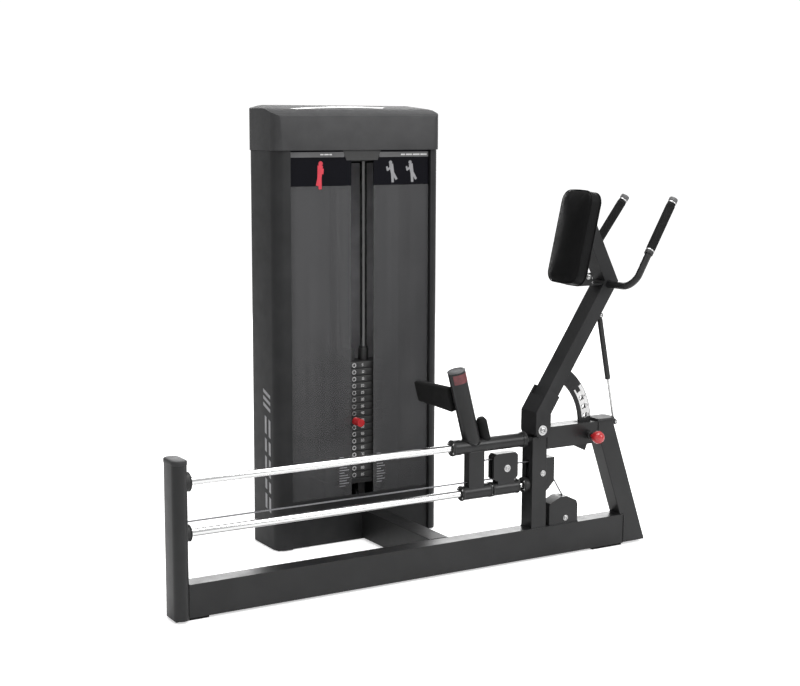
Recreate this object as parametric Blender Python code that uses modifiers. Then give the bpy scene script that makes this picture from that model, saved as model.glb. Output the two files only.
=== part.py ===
"""Standing rear-kick machine with a selectorised weight tower.

Metres, +Z up. The machine is laid out from a datum: x runs along the main rail from the end post's
outer face, y is 0 on the rail's centreline and grows towards the weight tower, and z is 0 on the
floor. One empty carries everything and puts the centre of the bounding box's base on the origin.
"""

import math

import bmesh
import bpy
from mathutils import Matrix, Vector

# ---- driving dimensions -------------------------------------------------------------------------
GAP = 0.0003                    # clearance between pieces that touch
WALL = 0.003                    # wall of every steel tube
OVERALL_X = 1.8389              # end post's outer face to the front of the grips
FRONT_Y = -0.1682               # near grip
BACK_Y = 0.7000                 # tower's back

FOOT_H = 0.008                  # rubber feet
TUBE = 0.060                    # square frame tube
RAIL_TOP = 0.113
RAIL_END = 1.721
POST_LONG, POST_WIDE, POST_TOP = 0.100, 0.050, 0.495

ROD_R = 0.0125                  # carriage guide rods
ROD_BORE = 0.0128
UPPER_ROD_Z = 0.424
LOWER_ROD_Z = 0.2655
SLEEVE_R = 0.024

COLUMN_X = 1.317                # near side of the front column
COLUMN_TOP = 0.433
PIVOT = Vector((1.347, 0.0, 0.458))
BEAM_LOW, BEAM_HIGH = 0.387, 0.463
BEAM_END = 1.600
LEG_SLOPE = -0.347              # dx/dz of the rear leg
LEG_TOP_X = 1.662
LEG_WIDE = 0.078                # horizontal width of the leg

CABLE_R = 0.0025
PRESS_PULLEY_R = 0.034          # radii to the cable's centreline
PRESS_PULLEY = Vector((1.222, 0.0, 0.335))
COLUMN_PULLEY_R = 0.040
COLUMN_PULLEY = Vector((1.362, 0.0, 0.304))
BASE_PULLEY_R = 0.042
BASE_PULLEY = Vector((1.466, 0.0, 0.133))
CORNER_R = 0.025
TOWER_PULLEY_R = 0.046
AXLE_R = 0.005

STACK_X = 0.922                 # plane of the stack and of the cable it hangs from
CABLE_X = 0.960                 # plane of the link tube's cable
LINK_X0, LINK_X1 = 0.946, 1.018  # link tube between rail and tower
TOWER_X0, TOWER_X1 = 0.602, 1.265
TOWER_FRONT = 0.486
PANEL_Y = 0.498                 # front face of shields, skirt and header
TOWER_R = 0.036
COVER_TOP = 1.399
CAP_TOP = 1.555
LEFT_COVER, RIGHT_COVER = 0.062, 0.040     # widths of the tower's front corners
SLOT_X0, SLOT_X1 = 0.906, 0.996
PLATE_H = 0.025
PLATES_LIFTED = 9
STACK_TOP = 0.651
STACK_BASE = 0.226
STACK_Y0, STACK_Y1 = 0.508, 0.588
STACK_HALF = 0.118
STACK_ROD_OFFSET = 0.060
BUSH_R, BUSH_TOP = 0.0185, 0.700
STACK_ROD_R = 0.0125

ARM_DIR = Vector((0.546, 0.0, 0.838)).normalized()
ARM_POINT = Vector((1.5578, 0.0, 0.828))   # on the arm tube's axis
ARM_HALF = 0.0250               # half the tube's depth, in the plane it swings in
ARM_HALF_Y = 0.034
KNEE = Vector((1.6393, 0.0, 0.953))
HEAD_DIR = Vector((-0.447, 0.0, 0.894)).normalized()
BRACKET_Y = 0.044
BRACKET_SHIFT = 0.0034          # of the bracket's round end past the pivot
PIN_ANGLE = -10.6               # degrees, of the pull pin about the pivot
HOLE_STEP = 8.8
HOLE_R = 0.0066
QUADRANT_R = 0.213
QUADRANT_IN, QUADRANT_OUT = 0.185, 0.237

PAD_LOW = Vector((1.4385, 0.0, 0.9546))    # front bottom edge of the chest pad
PAD_UP = Vector((0.220, 0.0, 0.9755)).normalized()
PAD_BACK = Vector((0.9755, 0.0, -0.220)).normalized()
PAD_HIGH, PAD_WIDE, PAD_THICK, BOARD_THICK = 0.322, 0.164, 0.052, 0.012
PAD_CORNER, PAD_CROWN = 0.035, 0.005

BAR_BASE = Vector((1.628, 0.0, 0.942))
BAR_DIR = Vector((0.558, 0.0, 0.830)).normalized()
BAR_HALF, BAR_LEN, BAR_R, GRIP_R = 0.156, 0.349, 0.0125, 0.0155
BAR_BEND = 0.050
TOE_IN = 5.2                    # degrees that the bar's uprights lean towards each other

GAS_TOP = Vector((1.615, 0.0, 0.831))
GAS_FOOT = Vector((1.690, 0.0, 0.447))
GAS_BODY_END = 0.232            # along the spring from its top eye
GAS_R, GAS_ROD_R, GAS_BORE_R = 0.0095, 0.0040, 0.0047

POST_DIR = Vector((-0.255, 0.0, 0.967)).normalized()
POST_AXIS = Vector((1.056, 0.0, 0.558))    # on the foot post's axis
FOOT_POST_R = 0.030

X, Y, Z = Vector((1, 0, 0)), Vector((0, 1, 0)), Vector((0, 0, 1))

# ---- scene and materials ------------------------------------------------------------------------
for old in list(bpy.data.objects):
    bpy.data.objects.remove(old, do_unlink=True)


def collection(name):
    made = bpy.data.collections.new(name)
    bpy.context.scene.collection.children.link(made)
    return made


PARTS = collection("rear_kick_machine")
CUTTERS = collection("cutters")
CUTTERS.hide_render = True

MACHINE = bpy.data.objects.new("machine_datum", None)
MACHINE.location = (-OVERALL_X / 2, -(FRONT_Y + BACK_Y) / 2, 0.0)
PARTS.objects.link(MACHINE)

FINISHES = {
    "frame_paint": ((0.045, 0.046, 0.050), 0.45, 0.6),
    "arm_paint": ((0.065, 0.066, 0.070), 0.42, 0.6),
    "chrome": ((0.85, 0.85, 0.87), 0.10, 1.0),
    "cover": ((0.040, 0.041, 0.044), 0.50, 0.3),
    "smoked": ((0.060, 0.060, 0.062), 0.15, 0.0),
    "header": ((0.020, 0.020, 0.028), 0.35, 0.0),
    "plate_iron": ((0.025, 0.025, 0.027), 0.55, 0.5),
    "steel": ((0.55, 0.55, 0.57), 0.30, 1.0),
    "cable": ((0.30, 0.30, 0.31), 0.45, 0.8),
    "nylon": ((0.015, 0.015, 0.016), 0.50, 0.0),
    "rubber": ((0.012, 0.012, 0.013), 0.80, 0.0),
    "leather": ((0.012, 0.012, 0.013), 0.55, 0.0),
    "red": ((0.45, 0.02, 0.02), 0.30, 0.0),
}


def material(name, finish):
    made = bpy.data.materials.new(name)
    made.use_nodes = True
    shader = made.node_tree.nodes["Principled BSDF"]
    color, roughness, metallic = FINISHES[finish]
    shader.inputs["Base Color"].default_value = (*color, 1.0)
    shader.inputs["Roughness"].default_value = roughness
    shader.inputs["Metallic"].default_value = metallic
    return made


# ---- modelling helpers --------------------------------------------------------------------------
def add(name, mesh, at=(0, 0, 0), turn=None):
    """A mesh as an object on the datum, in the cutters' collection until place() takes it."""
    made = bpy.data.objects.new(name, mesh)
    CUTTERS.objects.link(made)
    made.display_type = "WIRE"
    made.hide_render = True
    made.parent = MACHINE
    made.matrix_local = Matrix.Translation(Vector(at)) @ (turn or Matrix.Identity(4))
    return made


def place(shape, finish, smooth=True):
    """Makes a shape one of the machine's pieces."""
    CUTTERS.objects.unlink(shape)
    PARTS.objects.link(shape)
    shape.display_type = "TEXTURED"
    shape.hide_render = False
    shape.data.materials.clear()
    shape.data.materials.append(material(f"{shape.name}_{finish}", finish))
    if smooth:
        shape.data.shade_smooth()
        shape.data.set_sharp_from_angle(angle=math.radians(35))
    return shape


def mesh_of(name, fill):
    mesh = bpy.data.meshes.new(name)
    work = bmesh.new()
    fill(work)
    work.to_mesh(mesh)
    work.free()
    return mesh


def box(name, x, y, z):
    """A box from three (low, high) pairs."""
    size = Vector((x[1] - x[0], y[1] - y[0], z[1] - z[0]))
    middle = Vector((x[0] + x[1], y[0] + y[1], z[0] + z[1])) / 2
    scale = Matrix.Diagonal((*size, 1.0))
    mesh = mesh_of(name, lambda work: bmesh.ops.create_cube(work, size=1.0, matrix=scale))
    return add(name, mesh, middle)


def facing(direction):
    """The rotation that takes +Z to a direction."""
    return Vector(direction).to_track_quat("Z", "Y").to_matrix().to_4x4()


def rod(name, start, end, radius, sides=24, end_radius=None):
    """A round bar between two points."""
    start, end = Vector(start), Vector(end)
    far = radius if end_radius is None else end_radius
    mesh = mesh_of(name, lambda work: bmesh.ops.create_cone(
        work, cap_ends=True, segments=sides, radius1=radius, radius2=far, depth=(end - start).length))
    return add(name, mesh, (start + end) / 2, facing(end - start))


def outline(name, points, low, high, axis="Y"):
    """A flat outline filled as a 2D curve and made as thick as low to high along Y, X or Z.

    The points are (x, z) for Y, (y, z) for X and (x, y) for Z."""
    curve = bpy.data.curves.new(name, "CURVE")
    curve.dimensions = "2D"
    curve.fill_mode = "BOTH"
    curve.extrude = (high - low) / 2
    spline = curve.splines.new("POLY")
    spline.points.add(len(points) - 1)
    for point, (u, v) in zip(spline.points, points):
        point.co = (u, v, 0.0, 1.0)
    spline.use_cyclic_u = True
    turns = {
        "Y": Matrix.Rotation(math.pi / 2, 4, "X"),
        "X": Matrix.Rotation(math.pi / 2, 4, "Z") @ Matrix.Rotation(math.pi / 2, 4, "X"),
        "Z": Matrix.Identity(4),
    }
    middle = (low + high) / 2
    at = {"Y": (0, middle, 0), "X": (middle, 0, 0), "Z": (0, 0, middle)}[axis]
    return add(name, solid_curve(name, curve), at, turns[axis])


def solid_curve(name, curve):
    """A curve's closed mesh, with its caps welded on."""
    holder = bpy.data.objects.new(name, curve)
    CUTTERS.objects.link(holder)
    bpy.context.view_layer.update()
    mesh = bpy.data.meshes.new_from_object(holder.evaluated_get(bpy.context.evaluated_depsgraph_get()))
    bpy.data.objects.remove(holder, do_unlink=True)
    work = bmesh.new()
    work.from_mesh(mesh)
    bmesh.ops.remove_doubles(work, verts=work.verts, dist=0.00005)
    bmesh.ops.recalc_face_normals(work, faces=work.faces)
    work.to_mesh(mesh)
    work.free()
    return mesh


def tube_along(name, points, radius, resolution=2):
    """A round tube along a list of points."""
    curve = bpy.data.curves.new(name, "CURVE")
    curve.dimensions = "3D"
    curve.bevel_depth = radius
    curve.bevel_resolution = resolution
    curve.use_fill_caps = True
    spline = curve.splines.new("POLY")
    spline.points.add(len(points) - 1)
    for point, co in zip(spline.points, points):
        point.co = (*co, 1.0)
    return add(name, solid_curve(name, curve))


def boolean(target, other, operation):
    step = target.modifiers.new(other.name, "BOOLEAN")
    step.operation = operation
    step.solver = "EXACT"
    step.object = other


def cut(target, *others):
    for other in others:
        boolean(target, other, "DIFFERENCE")
    return target


def join(target, *others):
    for other in others:
        boolean(target, other, "UNION")
    return target


def bevel(shape, width, segments=2, angle=40):
    step = shape.modifiers.new("rounding", "BEVEL")
    step.width = width
    step.segments = segments
    step.limit_method = "ANGLE"
    step.angle_limit = math.radians(angle)
    return shape


def arc(centre, radius, start, end, steps):
    """Points of an arc in a plane, in degrees, both ends included."""
    turns = (math.radians(start + (end - start) * i / steps) for i in range(steps + 1))
    return [(centre[0] + radius * math.cos(t), centre[1] + radius * math.sin(t)) for t in turns]


def tube_box(name, x, y, z, along, wall=WALL):
    """A rectangular tube, open at both ends."""
    shape = box(name, x, y, z)
    inner = []
    for axis, (low, high) in zip("XYZ", (x, y, z)):
        grow = 0.01 if axis == along else -wall
        inner.append((low - grow, high + grow))
    return cut(shape, box(f"{name}_hollow", *inner))


def pulley(name, centre, axis, radius, half=0.006):
    """A grooved wheel with a bore, turned about its axis; the cable's centreline runs at radius."""
    rim, groove, bore = radius + 0.0025, radius - CABLE_R - 0.0009, AXLE_R + 0.0005
    lip, floor = CABLE_R + 0.0012, CABLE_R + 0.0005
    profile = [(bore, half), (rim, half), (rim, lip), (groove, floor),
               (groove, -floor), (rim, -lip), (rim, -half), (bore, -half)]
    mesh = mesh_of(name, lambda work: ring_of(work, profile))
    shape = add(name, mesh, centre, facing(axis))
    turn = shape.modifiers.new("turned", "SCREW")
    turn.steps = turn.render_steps = 28
    turn.use_merge_vertices = True
    turn.merge_threshold = 0.00001
    return shape


def ring_of(work, profile):
    """A closed profile in the XZ plane."""
    verts = [work.verts.new((r, 0.0, z)) for r, z in profile]
    for first, second in zip(verts, verts[1:] + verts[:1]):
        work.edges.new((first, second))


def in_arm_plane(point, across):
    """A point moved across the arm's axis, in the plane it swings in."""
    side = Vector((ARM_DIR.z, 0.0, -ARM_DIR.x))
    return point + side * across


def on_arm(z, across=0.0):
    """(x, z) on a line beside the arm's axis, at height z."""
    start = in_arm_plane(ARM_POINT, across)
    along = (z - start.z) / ARM_DIR.z
    return start.x + ARM_DIR.x * along, z


# ---- main frame ---------------------------------------------------------------------------------
def make_rail():
    rail = tube_box("main_rail", (POST_WIDE + GAP, RAIL_END), (-TUBE / 2, TUBE / 2),
                    (FOOT_H, RAIL_TOP), "X")
    slot_low = BASE_PULLEY.x - BASE_PULLEY_R - 0.006
    slot_high = BASE_PULLEY.x + BASE_PULLEY_R + 0.005
    cut(rail, box("rail_pulley_slot", (slot_low, slot_high), (-0.009, 0.009), (0.105, 0.12)))
    cut(rail, box("rail_link_window", (LINK_X0 + WALL, LINK_X1 - WALL), (0.02, 0.04), (0.080, 0.102)))
    axle = rod("corner_axle", (corner_centre().x, CORNER_R, 0.009),
               (corner_centre().x, CORNER_R, RAIL_TOP - 0.001), 0.0042, 12)
    join(rail, axle)
    place(rail, "frame_paint")


def corner_centre():
    return Vector((CABLE_X + CORNER_R, CORNER_R, cable_level()))


def cable_level():
    """Height of the cable inside the rail and the link tube."""
    return BASE_PULLEY.z - BASE_PULLEY_R


def make_end_post():
    straight, radius = POST_LONG / 2 - POST_WIDE / 2, POST_WIDE / 2
    oval = arc((radius, straight), radius, 0, 180, 10) + arc((radius, -straight), radius, 180, 360, 10)
    post = outline("end_post", oval, FOOT_H, POST_TOP, "Z")
    inner_r = radius - WALL
    inner = arc((radius, straight), inner_r, 0, 180, 10) + arc((radius, -straight), inner_r, 180, 360, 10)
    cut(post, outline("post_hollow", inner, 0.0, POST_TOP - 0.006, "Z"))
    place(post, "frame_paint")


def make_feet():
    for name, start, end in (("rail_foot_left", 0.006, 0.118), ("rail_foot_right", 1.585, 1.719)):
        foot = box(name, (start, end), (-0.027, 0.027), (0.0, FOOT_H - GAP))
        place(bevel(foot, 0.003, 1), "rubber")


def make_column():
    column = tube_box("front_column", (COLUMN_X, COLUMN_X + TUBE), (-TUBE / 2, TUBE / 2),
                      (RAIL_TOP + GAP, COLUMN_TOP), "Z")
    head = box("column_head", (COLUMN_X + 0.001, COLUMN_X + TUBE - 0.001), (-0.029, 0.029),
               (COLUMN_TOP - 0.006, COLUMN_TOP + 0.0))
    neck = box("column_neck", (PIVOT.x - 0.0195, PIVOT.x + 0.0195), (-0.030, 0.030),
               (COLUMN_TOP - 0.004, PIVOT.z))
    half = BRACKET_Y - 0.010 - GAP
    boss = rod("column_boss", (PIVOT.x, -half, PIVOT.z), (PIVOT.x, half, PIVOT.z), 0.0205, 24)
    spindle = rod("arm_spindle", (PIVOT.x, -0.0475, PIVOT.z), (PIVOT.x, 0.0475, PIVOT.z), 0.010, 16)
    reach = COLUMN_PULLEY_R + 0.006
    slot = box("column_slot", (COLUMN_X - 0.01, COLUMN_X + TUBE + 0.01), (-0.009, 0.009),
               (COLUMN_PULLEY.z - reach, COLUMN_PULLEY.z + reach))
    axle = rod("column_axle", (COLUMN_PULLEY.x, -0.028, COLUMN_PULLEY.z),
               (COLUMN_PULLEY.x, 0.028, COLUMN_PULLEY.z), AXLE_R, 12)
    place(join(cut(column, slot), head, neck, boss, spindle, axle), "frame_paint")


def make_pulley_guard():
    """The bracket that shields the column pulley's far side."""
    x0, x1 = COLUMN_X + TUBE + GAP, 1.412
    low, high = COLUMN_PULLEY.z - 0.062, COLUMN_PULLEY.z + 0.052
    profile = [(x0, low), (x0 + 0.006, low), (x1, low + 0.030), (x1, high), (x0, high)]
    guard = outline("column_pulley_guard", profile, -0.028, 0.028)
    pocket = box("guard_pocket", (x0 - 0.01, x1 - 0.0025), (-0.009, 0.009), (low - 0.01, high - 0.003))
    exit_slot = box("guard_exit", (x1 - 0.02, x1 + 0.01), (-0.009, 0.009), (low - 0.01, high - 0.028))
    place(cut(guard, pocket, exit_slot), "frame_paint")


def make_top_beam():
    beam = tube_box("top_beam", (COLUMN_X + TUBE + GAP, BEAM_END - GAP), (-TUBE / 2, TUBE / 2),
                    (BEAM_LOW, BEAM_HIGH), "X")
    slot_low = PIVOT.x + QUADRANT_IN * 0.92
    slot = box("quadrant_slot", (slot_low - 0.004, PIVOT.x + QUADRANT_OUT + 0.004), (-0.0055, 0.0055),
               (BEAM_LOW - 0.01, BEAM_HIGH + 0.01))
    pin = pin_point()
    housing = rod("pin_housing", (pin.x, -0.050, pin.z), (pin.x, -0.0275, pin.z), 0.012, 20)
    bore = rod("pin_bore", (pin.x, -0.070, pin.z), (pin.x, -0.015, pin.z), HOLE_R, 16)
    place(cut(join(cut(beam, slot), housing), bore), "frame_paint")


def pin_point():
    turn = math.radians(PIN_ANGLE)
    return PIVOT + Vector((math.cos(turn), 0.0, math.sin(turn))) * QUADRANT_R


def leg_right(z):
    return LEG_TOP_X + LEG_SLOPE * (z - BEAM_HIGH)


def make_leg():
    low = FOOT_H + 0.002
    rail_x, rail_z = RAIL_END + GAP, RAIL_TOP + GAP
    shape = [(BEAM_END, BEAM_HIGH), (BEAM_END, BEAM_LOW), (leg_right(BEAM_LOW) - LEG_WIDE, BEAM_LOW),
             (leg_right(rail_z) - LEG_WIDE, rail_z), (rail_x, rail_z), (rail_x, low),
             (leg_right(low), low), (leg_right(BEAM_HIGH), BEAM_HIGH)]
    leg = outline("rear_leg", shape, -TUBE / 2, TUBE / 2)
    inner_high = BEAM_LOW
    inner = [(leg_right(inner_high) - LEG_WIDE + 0.005, inner_high),
             (leg_right(0.12) - LEG_WIDE + 0.005, 0.12), (rail_x + 0.004, 0.112), (rail_x + 0.004, 0.0),
             (leg_right(0.0) - 0.005, 0.0), (leg_right(inner_high) - 0.005, inner_high)]
    cut(leg, outline("leg_hollow", inner, -TUBE / 2 + WALL, TUBE / 2 - WALL))
    place(leg, "frame_paint")


def make_beam_cap():
    """Cap over the beam's end, with the fork that takes the gas spring's foot."""
    low, high = BEAM_HIGH + GAP, BEAM_HIGH + 0.008
    straight = 0.018
    rounding = 0.034 - straight
    x0, x1 = 1.594, 1.674
    plan = [(x0, -0.034), *arc((x1 - rounding, -straight), rounding, -90, 0, 5),
            *arc((x1 - rounding, straight), rounding, 0, 90, 5), (x0, 0.034)]
    cap = outline("beam_end_cap", plan, low, high, "Z")
    cheek = [(1.652, low + 0.0004), (1.6745, low + 0.0004), (1.680, 0.450),
             *arc((GAS_FOOT.x, GAS_FOOT.z), 0.0085, 215, 410, 8), (1.673, high - 0.0004), (1.652, high - 0.0004)]
    for side in (-1, 1):
        inner, outer = sorted((side * 0.0060, side * 0.0115))
        join(cap, outline(f"cap_cheek_{side}", cheek, inner, outer))
    slot = box("cap_slot", (1.678, 1.72), (-0.0060, 0.0060), (0.42, 0.50))
    place(cut(cap, slot), "cover")


def make_guide_rods():
    for name, z in (("upper_guide_rod", UPPER_ROD_Z), ("lower_guide_rod", LOWER_ROD_Z)):
        bar = rod(name, (POST_WIDE + GAP, 0, z), (COLUMN_X - GAP, 0, z), ROD_R, 24)
        place(bar, "chrome")
    collars = (("upper_rod_collar", POST_WIDE + 2 * GAP, 0.013, 0.029, UPPER_ROD_Z),
               ("lower_rod_collar", POST_WIDE + 2 * GAP, 0.013, 0.025, LOWER_ROD_Z),
               ("lower_rod_socket", COLUMN_X - 0.0165, 0.016, 0.024, LOWER_ROD_Z))
    for name, x, thick, radius, z in collars:
        collar = rod(name, (x, 0, z), (x + thick, 0, z), radius, 24)
        bore = rod(f"{name}_bore", (x - 0.01, 0, z), (x + thick + 0.01, 0, z), ROD_BORE, 24)
        place(cut(collar, bore), "nylon")


def make_link():
    """Tube that joins the rail to the tower and covers the cable."""
    link = tube_box("link_tube", (LINK_X0, LINK_X1), (TUBE / 2 + GAP, PANEL_Y - 0.002 - GAP),
                    (FOOT_H, RAIL_TOP), "Y")
    place(link, "frame_paint")


# ---- cable path ---------------------------------------------------------------------------------
def tangent_angle(first, first_r, second, second_r):
    """Angle, in degrees, at which a belt that runs over the right sides of two pulleys leaves them."""
    step = second - first
    distance = math.hypot(step.x, step.z)
    heading = math.atan2(step.z, step.x)
    return math.degrees(heading + math.acos((first_r - second_r) / distance))


def make_base_cover():
    """House-shaped cover over the pulley that sends the cable into the rail."""
    x0, x1, base = 1.396, 1.518, RAIL_TOP + GAP
    profile = [(x0, base), (x1, base), (x1, 0.176), (x1 - 0.006, 0.190), (1.472, 0.209),
               (1.442, 0.209), (x0 + 0.004, 0.190), (x0, 0.182)]
    cover = outline("base_pulley_cover", profile, -0.025, 0.025)
    reach = BASE_PULLEY_R + 0.0045
    pocket = box("base_pocket", (BASE_PULLEY.x - reach, BASE_PULLEY.x + reach), (-0.009, 0.009),
                 (0.10, 0.184))
    slot = box("base_slot", (1.452, 1.500), (-0.006, 0.006), (0.17, 0.22))
    axle = rod("base_axle", (BASE_PULLEY.x, -0.020, BASE_PULLEY.z),
               (BASE_PULLEY.x, 0.020, BASE_PULLEY.z), AXLE_R, 12)
    place(join(cut(cover, pocket, slot), axle), "frame_paint")


def make_pulleys():
    middle = tower_pulley_y()
    pulleys = (
        ("press_pulley", PRESS_PULLEY, Y, PRESS_PULLEY_R),
        ("column_pulley", COLUMN_PULLEY, Y, COLUMN_PULLEY_R),
        ("base_pulley", BASE_PULLEY, Y, BASE_PULLEY_R),
        ("corner_pulley", corner_centre(), Z, CORNER_R),
        ("tower_foot_pulley", Vector((CABLE_X, middle, foot_pulley_z())), X, TOWER_PULLEY_R),
        ("tower_head_pulley", Vector((STACK_X, middle, HEAD_PULLEY_Z)), X, TOWER_PULLEY_R),
    )
    for name, centre, axis, radius in pulleys:
        place(pulley(name, centre, axis, radius), "nylon")


HEAD_PULLEY_Z = 1.310


def tower_pulley_y():
    return (STACK_Y0 + STACK_Y1) / 2 + TOWER_PULLEY_R


def foot_pulley_z():
    return cable_level() + TOWER_PULLEY_R


def lift_cable_route():
    """The stretch that keeps its shape: from the column pulley's top to the head pulley's front."""
    leave = tangent_angle(COLUMN_PULLEY, COLUMN_PULLEY_R, BASE_PULLEY, BASE_PULLEY_R)
    over = arc((COLUMN_PULLEY.x, COLUMN_PULLEY.z), COLUMN_PULLEY_R, 90, leave, 6)
    under = arc((BASE_PULLEY.x, BASE_PULLEY.z), BASE_PULLEY_R, leave, -90, 9)
    route = [(x, 0.0, z) for x, z in over + under]
    level = cable_level()
    corner = corner_centre()
    route += [(x, y, level) for x, y in arc((corner.x, corner.y), CORNER_R, 270, 180, 5)]
    middle, low = tower_pulley_y(), foot_pulley_z()
    route += [(CABLE_X, y, z) for y, z in arc((middle, low), TOWER_PULLEY_R, -90, 0, 6)]
    route += [(CABLE_X, middle + TOWER_PULLEY_R, low + 0.12),
              (STACK_X, middle + TOWER_PULLEY_R, HEAD_PULLEY_Z - 0.12)]
    route += [(STACK_X, y, z) for y, z in arc((middle, HEAD_PULLEY_Z), TOWER_PULLEY_R, 0, 180, 12)]
    return route


def make_cables():
    cable = tube_along("lift_cable", lift_cable_route(), CABLE_R)
    place(cable, "cable")
    low, high = PRESS_PULLEY.z - PRESS_PULLEY_R, PRESS_PULLEY.z + PRESS_PULLEY_R
    bend = arc((PRESS_PULLEY.x, PRESS_PULLEY.z), PRESS_PULLEY_R, -90, 90, 10)
    wrap = [(POST_WIDE + GAP, 0, low), *((x, 0, z) for x, z in bend)]
    place(tube_along("press_cable_lower", wrap, CABLE_R), "cable")
    upper = [(WEB_X1 + GAP, 0, high), (PRESS_PULLEY.x - 3 * GAP, 0, high)]
    place(tube_along("press_cable_upper", upper, CABLE_R), "cable")
    top = COLUMN_PULLEY.z + COLUMN_PULLEY_R
    drive = [(HOUSING_X1 + GAP, 0, top), (COLUMN_PULLEY.x - GAP, 0, top)]
    place(tube_along("drive_cable", drive, CABLE_R), "cable")
    y = tower_pulley_y() - TOWER_PULLEY_R
    hang = [(STACK_X, y, YOKE_TOP + GAP), (STACK_X, y, HEAD_PULLEY_Z - GAP)]
    place(tube_along("stack_cable", hang, CABLE_R), "cable")


# ---- foot carriage and pulley slider ------------------------------------------------------------
SLEEVE_X0, SLEEVE_X1 = 1.012, 1.296
WEB_X0, WEB_X1 = 1.068, 1.129
HOUSING_X0, HOUSING_X1 = 1.167, 1.266


def make_carriage():
    sleeve = rod("carriage_sleeve", (SLEEVE_X0 + 0.01, 0, UPPER_ROD_Z), (SLEEVE_X1 - 0.004, 0, UPPER_ROD_Z),
                 SLEEVE_R, 28)
    rings = [rod("sleeve_ring_left", (SLEEVE_X0, 0, UPPER_ROD_Z), (SLEEVE_X0 + 0.026, 0, UPPER_ROD_Z),
                 SLEEVE_R + 0.002, 28),
             rod("sleeve_ring_right", (SLEEVE_X1 - 0.010, 0, UPPER_ROD_Z), (SLEEVE_X1, 0, UPPER_ROD_Z),
                 SLEEVE_R + 0.002, 28)]
    bore = rod("sleeve_bore", (0.9, 0, UPPER_ROD_Z), (1.4, 0, UPPER_ROD_Z), ROD_BORE, 24)
    place(cut(join(sleeve, *rings), bore), "frame_paint")

    web = box("carriage_web", (WEB_X0, WEB_X1), (-0.016, 0.016), (LOWER_ROD_Z, UPPER_ROD_Z))
    lower = rod("lower_sleeve", (1.050, 0, LOWER_ROD_Z), (1.154, 0, LOWER_ROD_Z), SLEEVE_R, 28)
    lower_bore = rod("lower_bore", (1.0, 0, LOWER_ROD_Z), (1.2, 0, LOWER_ROD_Z), ROD_BORE, 24)
    seat = rod("web_seat", (1.0, 0, UPPER_ROD_Z), (1.2, 0, UPPER_ROD_Z), SLEEVE_R + GAP, 28)
    cable_low = PRESS_PULLEY.z - PRESS_PULLEY_R
    tunnel = rod("web_tunnel", (1.0, 0, cable_low), (1.2, 0, cable_low), 0.006, 16)
    place(cut(join(web, lower), lower_bore, seat, tunnel), "frame_paint")


def make_foot_post():
    top = POST_AXIS + POST_DIR * 0.129
    foot = POST_AXIS - POST_DIR * 0.125
    post = rod("foot_post", foot, top, FOOT_POST_R, 28)
    gusset = outline("post_gusset", [(1.078, 0.530), (1.092, 0.430), (1.117, 0.430), (1.098, 0.527)],
                     -0.004, 0.004)
    seat = rod("post_seat", (0.9, 0, UPPER_ROD_Z), (1.3, 0, UPPER_ROD_Z), SLEEVE_R + GAP, 28)
    keep_low = box("post_underside", (0.9, 1.3), (-0.1, 0.1), (0.35, UPPER_ROD_Z))
    place(cut(join(post, gusset), seat, keep_low), "frame_paint")


def make_foot_plate():
    """Rubber-faced plate that the heel pushes, cantilevered from the post towards the tower."""
    middle = POST_AXIS + POST_DIR * 0.030 - Vector((POST_DIR.z, 0, -POST_DIR.x)) * 0.022
    turn = facing(POST_DIR) @ Matrix.Rotation(-math.pi / 2, 4, "Z")

    def fill(work):
        bmesh.ops.create_cube(work, size=1.0, matrix=Matrix.Diagonal((0.026, 0.212, 0.086, 1.0)))
        for vert in work.verts:
            if (turn @ vert.co).y > 0:
                vert.co.z *= 0.84

    plate = add("foot_plate", mesh_of("foot_plate", fill), middle + Y * 0.136, turn)
    bevel(plate, 0.007, 2)
    clear = rod("plate_seat", POST_AXIS - POST_DIR * 0.2, POST_AXIS + POST_DIR * 0.2, FOOT_POST_R + GAP, 28)
    place(cut(plate, clear), "rubber")


def make_heel_stop():
    start = Vector((1.142, 0.0, 0.440))
    tip = start + POST_DIR * 0.068
    stub = rod("heel_stop", start, tip, 0.019, 20)
    crown = rod("heel_crown", tip - POST_DIR * 0.001, tip + POST_DIR * 0.012, 0.019, 20, 0.011)
    seat = rod("stub_seat", (0.9, 0, UPPER_ROD_Z), (1.3, 0, UPPER_ROD_Z), SLEEVE_R + GAP, 28)
    place(cut(join(stub, crown), seat), "rubber")


def make_slider():
    x0, x1, low, high, c = HOUSING_X0, HOUSING_X1, 0.295, 0.388, 0.010
    profile = [(x0, low + c), (x0 + c, low), (x1 - c, low), (x1, low + c),
               (x1, high - c), (x1 - c, high), (x0 + c, high), (x0, high - c)]
    housing = outline("slider_housing", profile, -0.017, 0.017)
    neck = box("slider_neck", (x0 + 0.018, x1 - 0.014), (-0.017, 0.017), (LOWER_ROD_Z, low + 0.004))
    sleeve = rod("slider_sleeve", (x0 + 0.004, 0, LOWER_ROD_Z), (x1 + 0.002, 0, LOWER_ROD_Z), SLEEVE_R, 28)
    bore = rod("slider_bore", (x0 - 0.05, 0, LOWER_ROD_Z), (x1 + 0.05, 0, LOWER_ROD_Z), ROD_BORE, 24)
    slot = box("slider_slot", (x0 - 0.01, x1 - 0.0055), (-0.0075, 0.0075), (0.2925, 0.3750))
    axle = rod("slider_axle", (PRESS_PULLEY.x, -0.012, PRESS_PULLEY.z),
               (PRESS_PULLEY.x, 0.012, PRESS_PULLEY.z), AXLE_R, 12)
    place(join(cut(join(housing, neck, sleeve), bore, slot), axle), "frame_paint")


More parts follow.
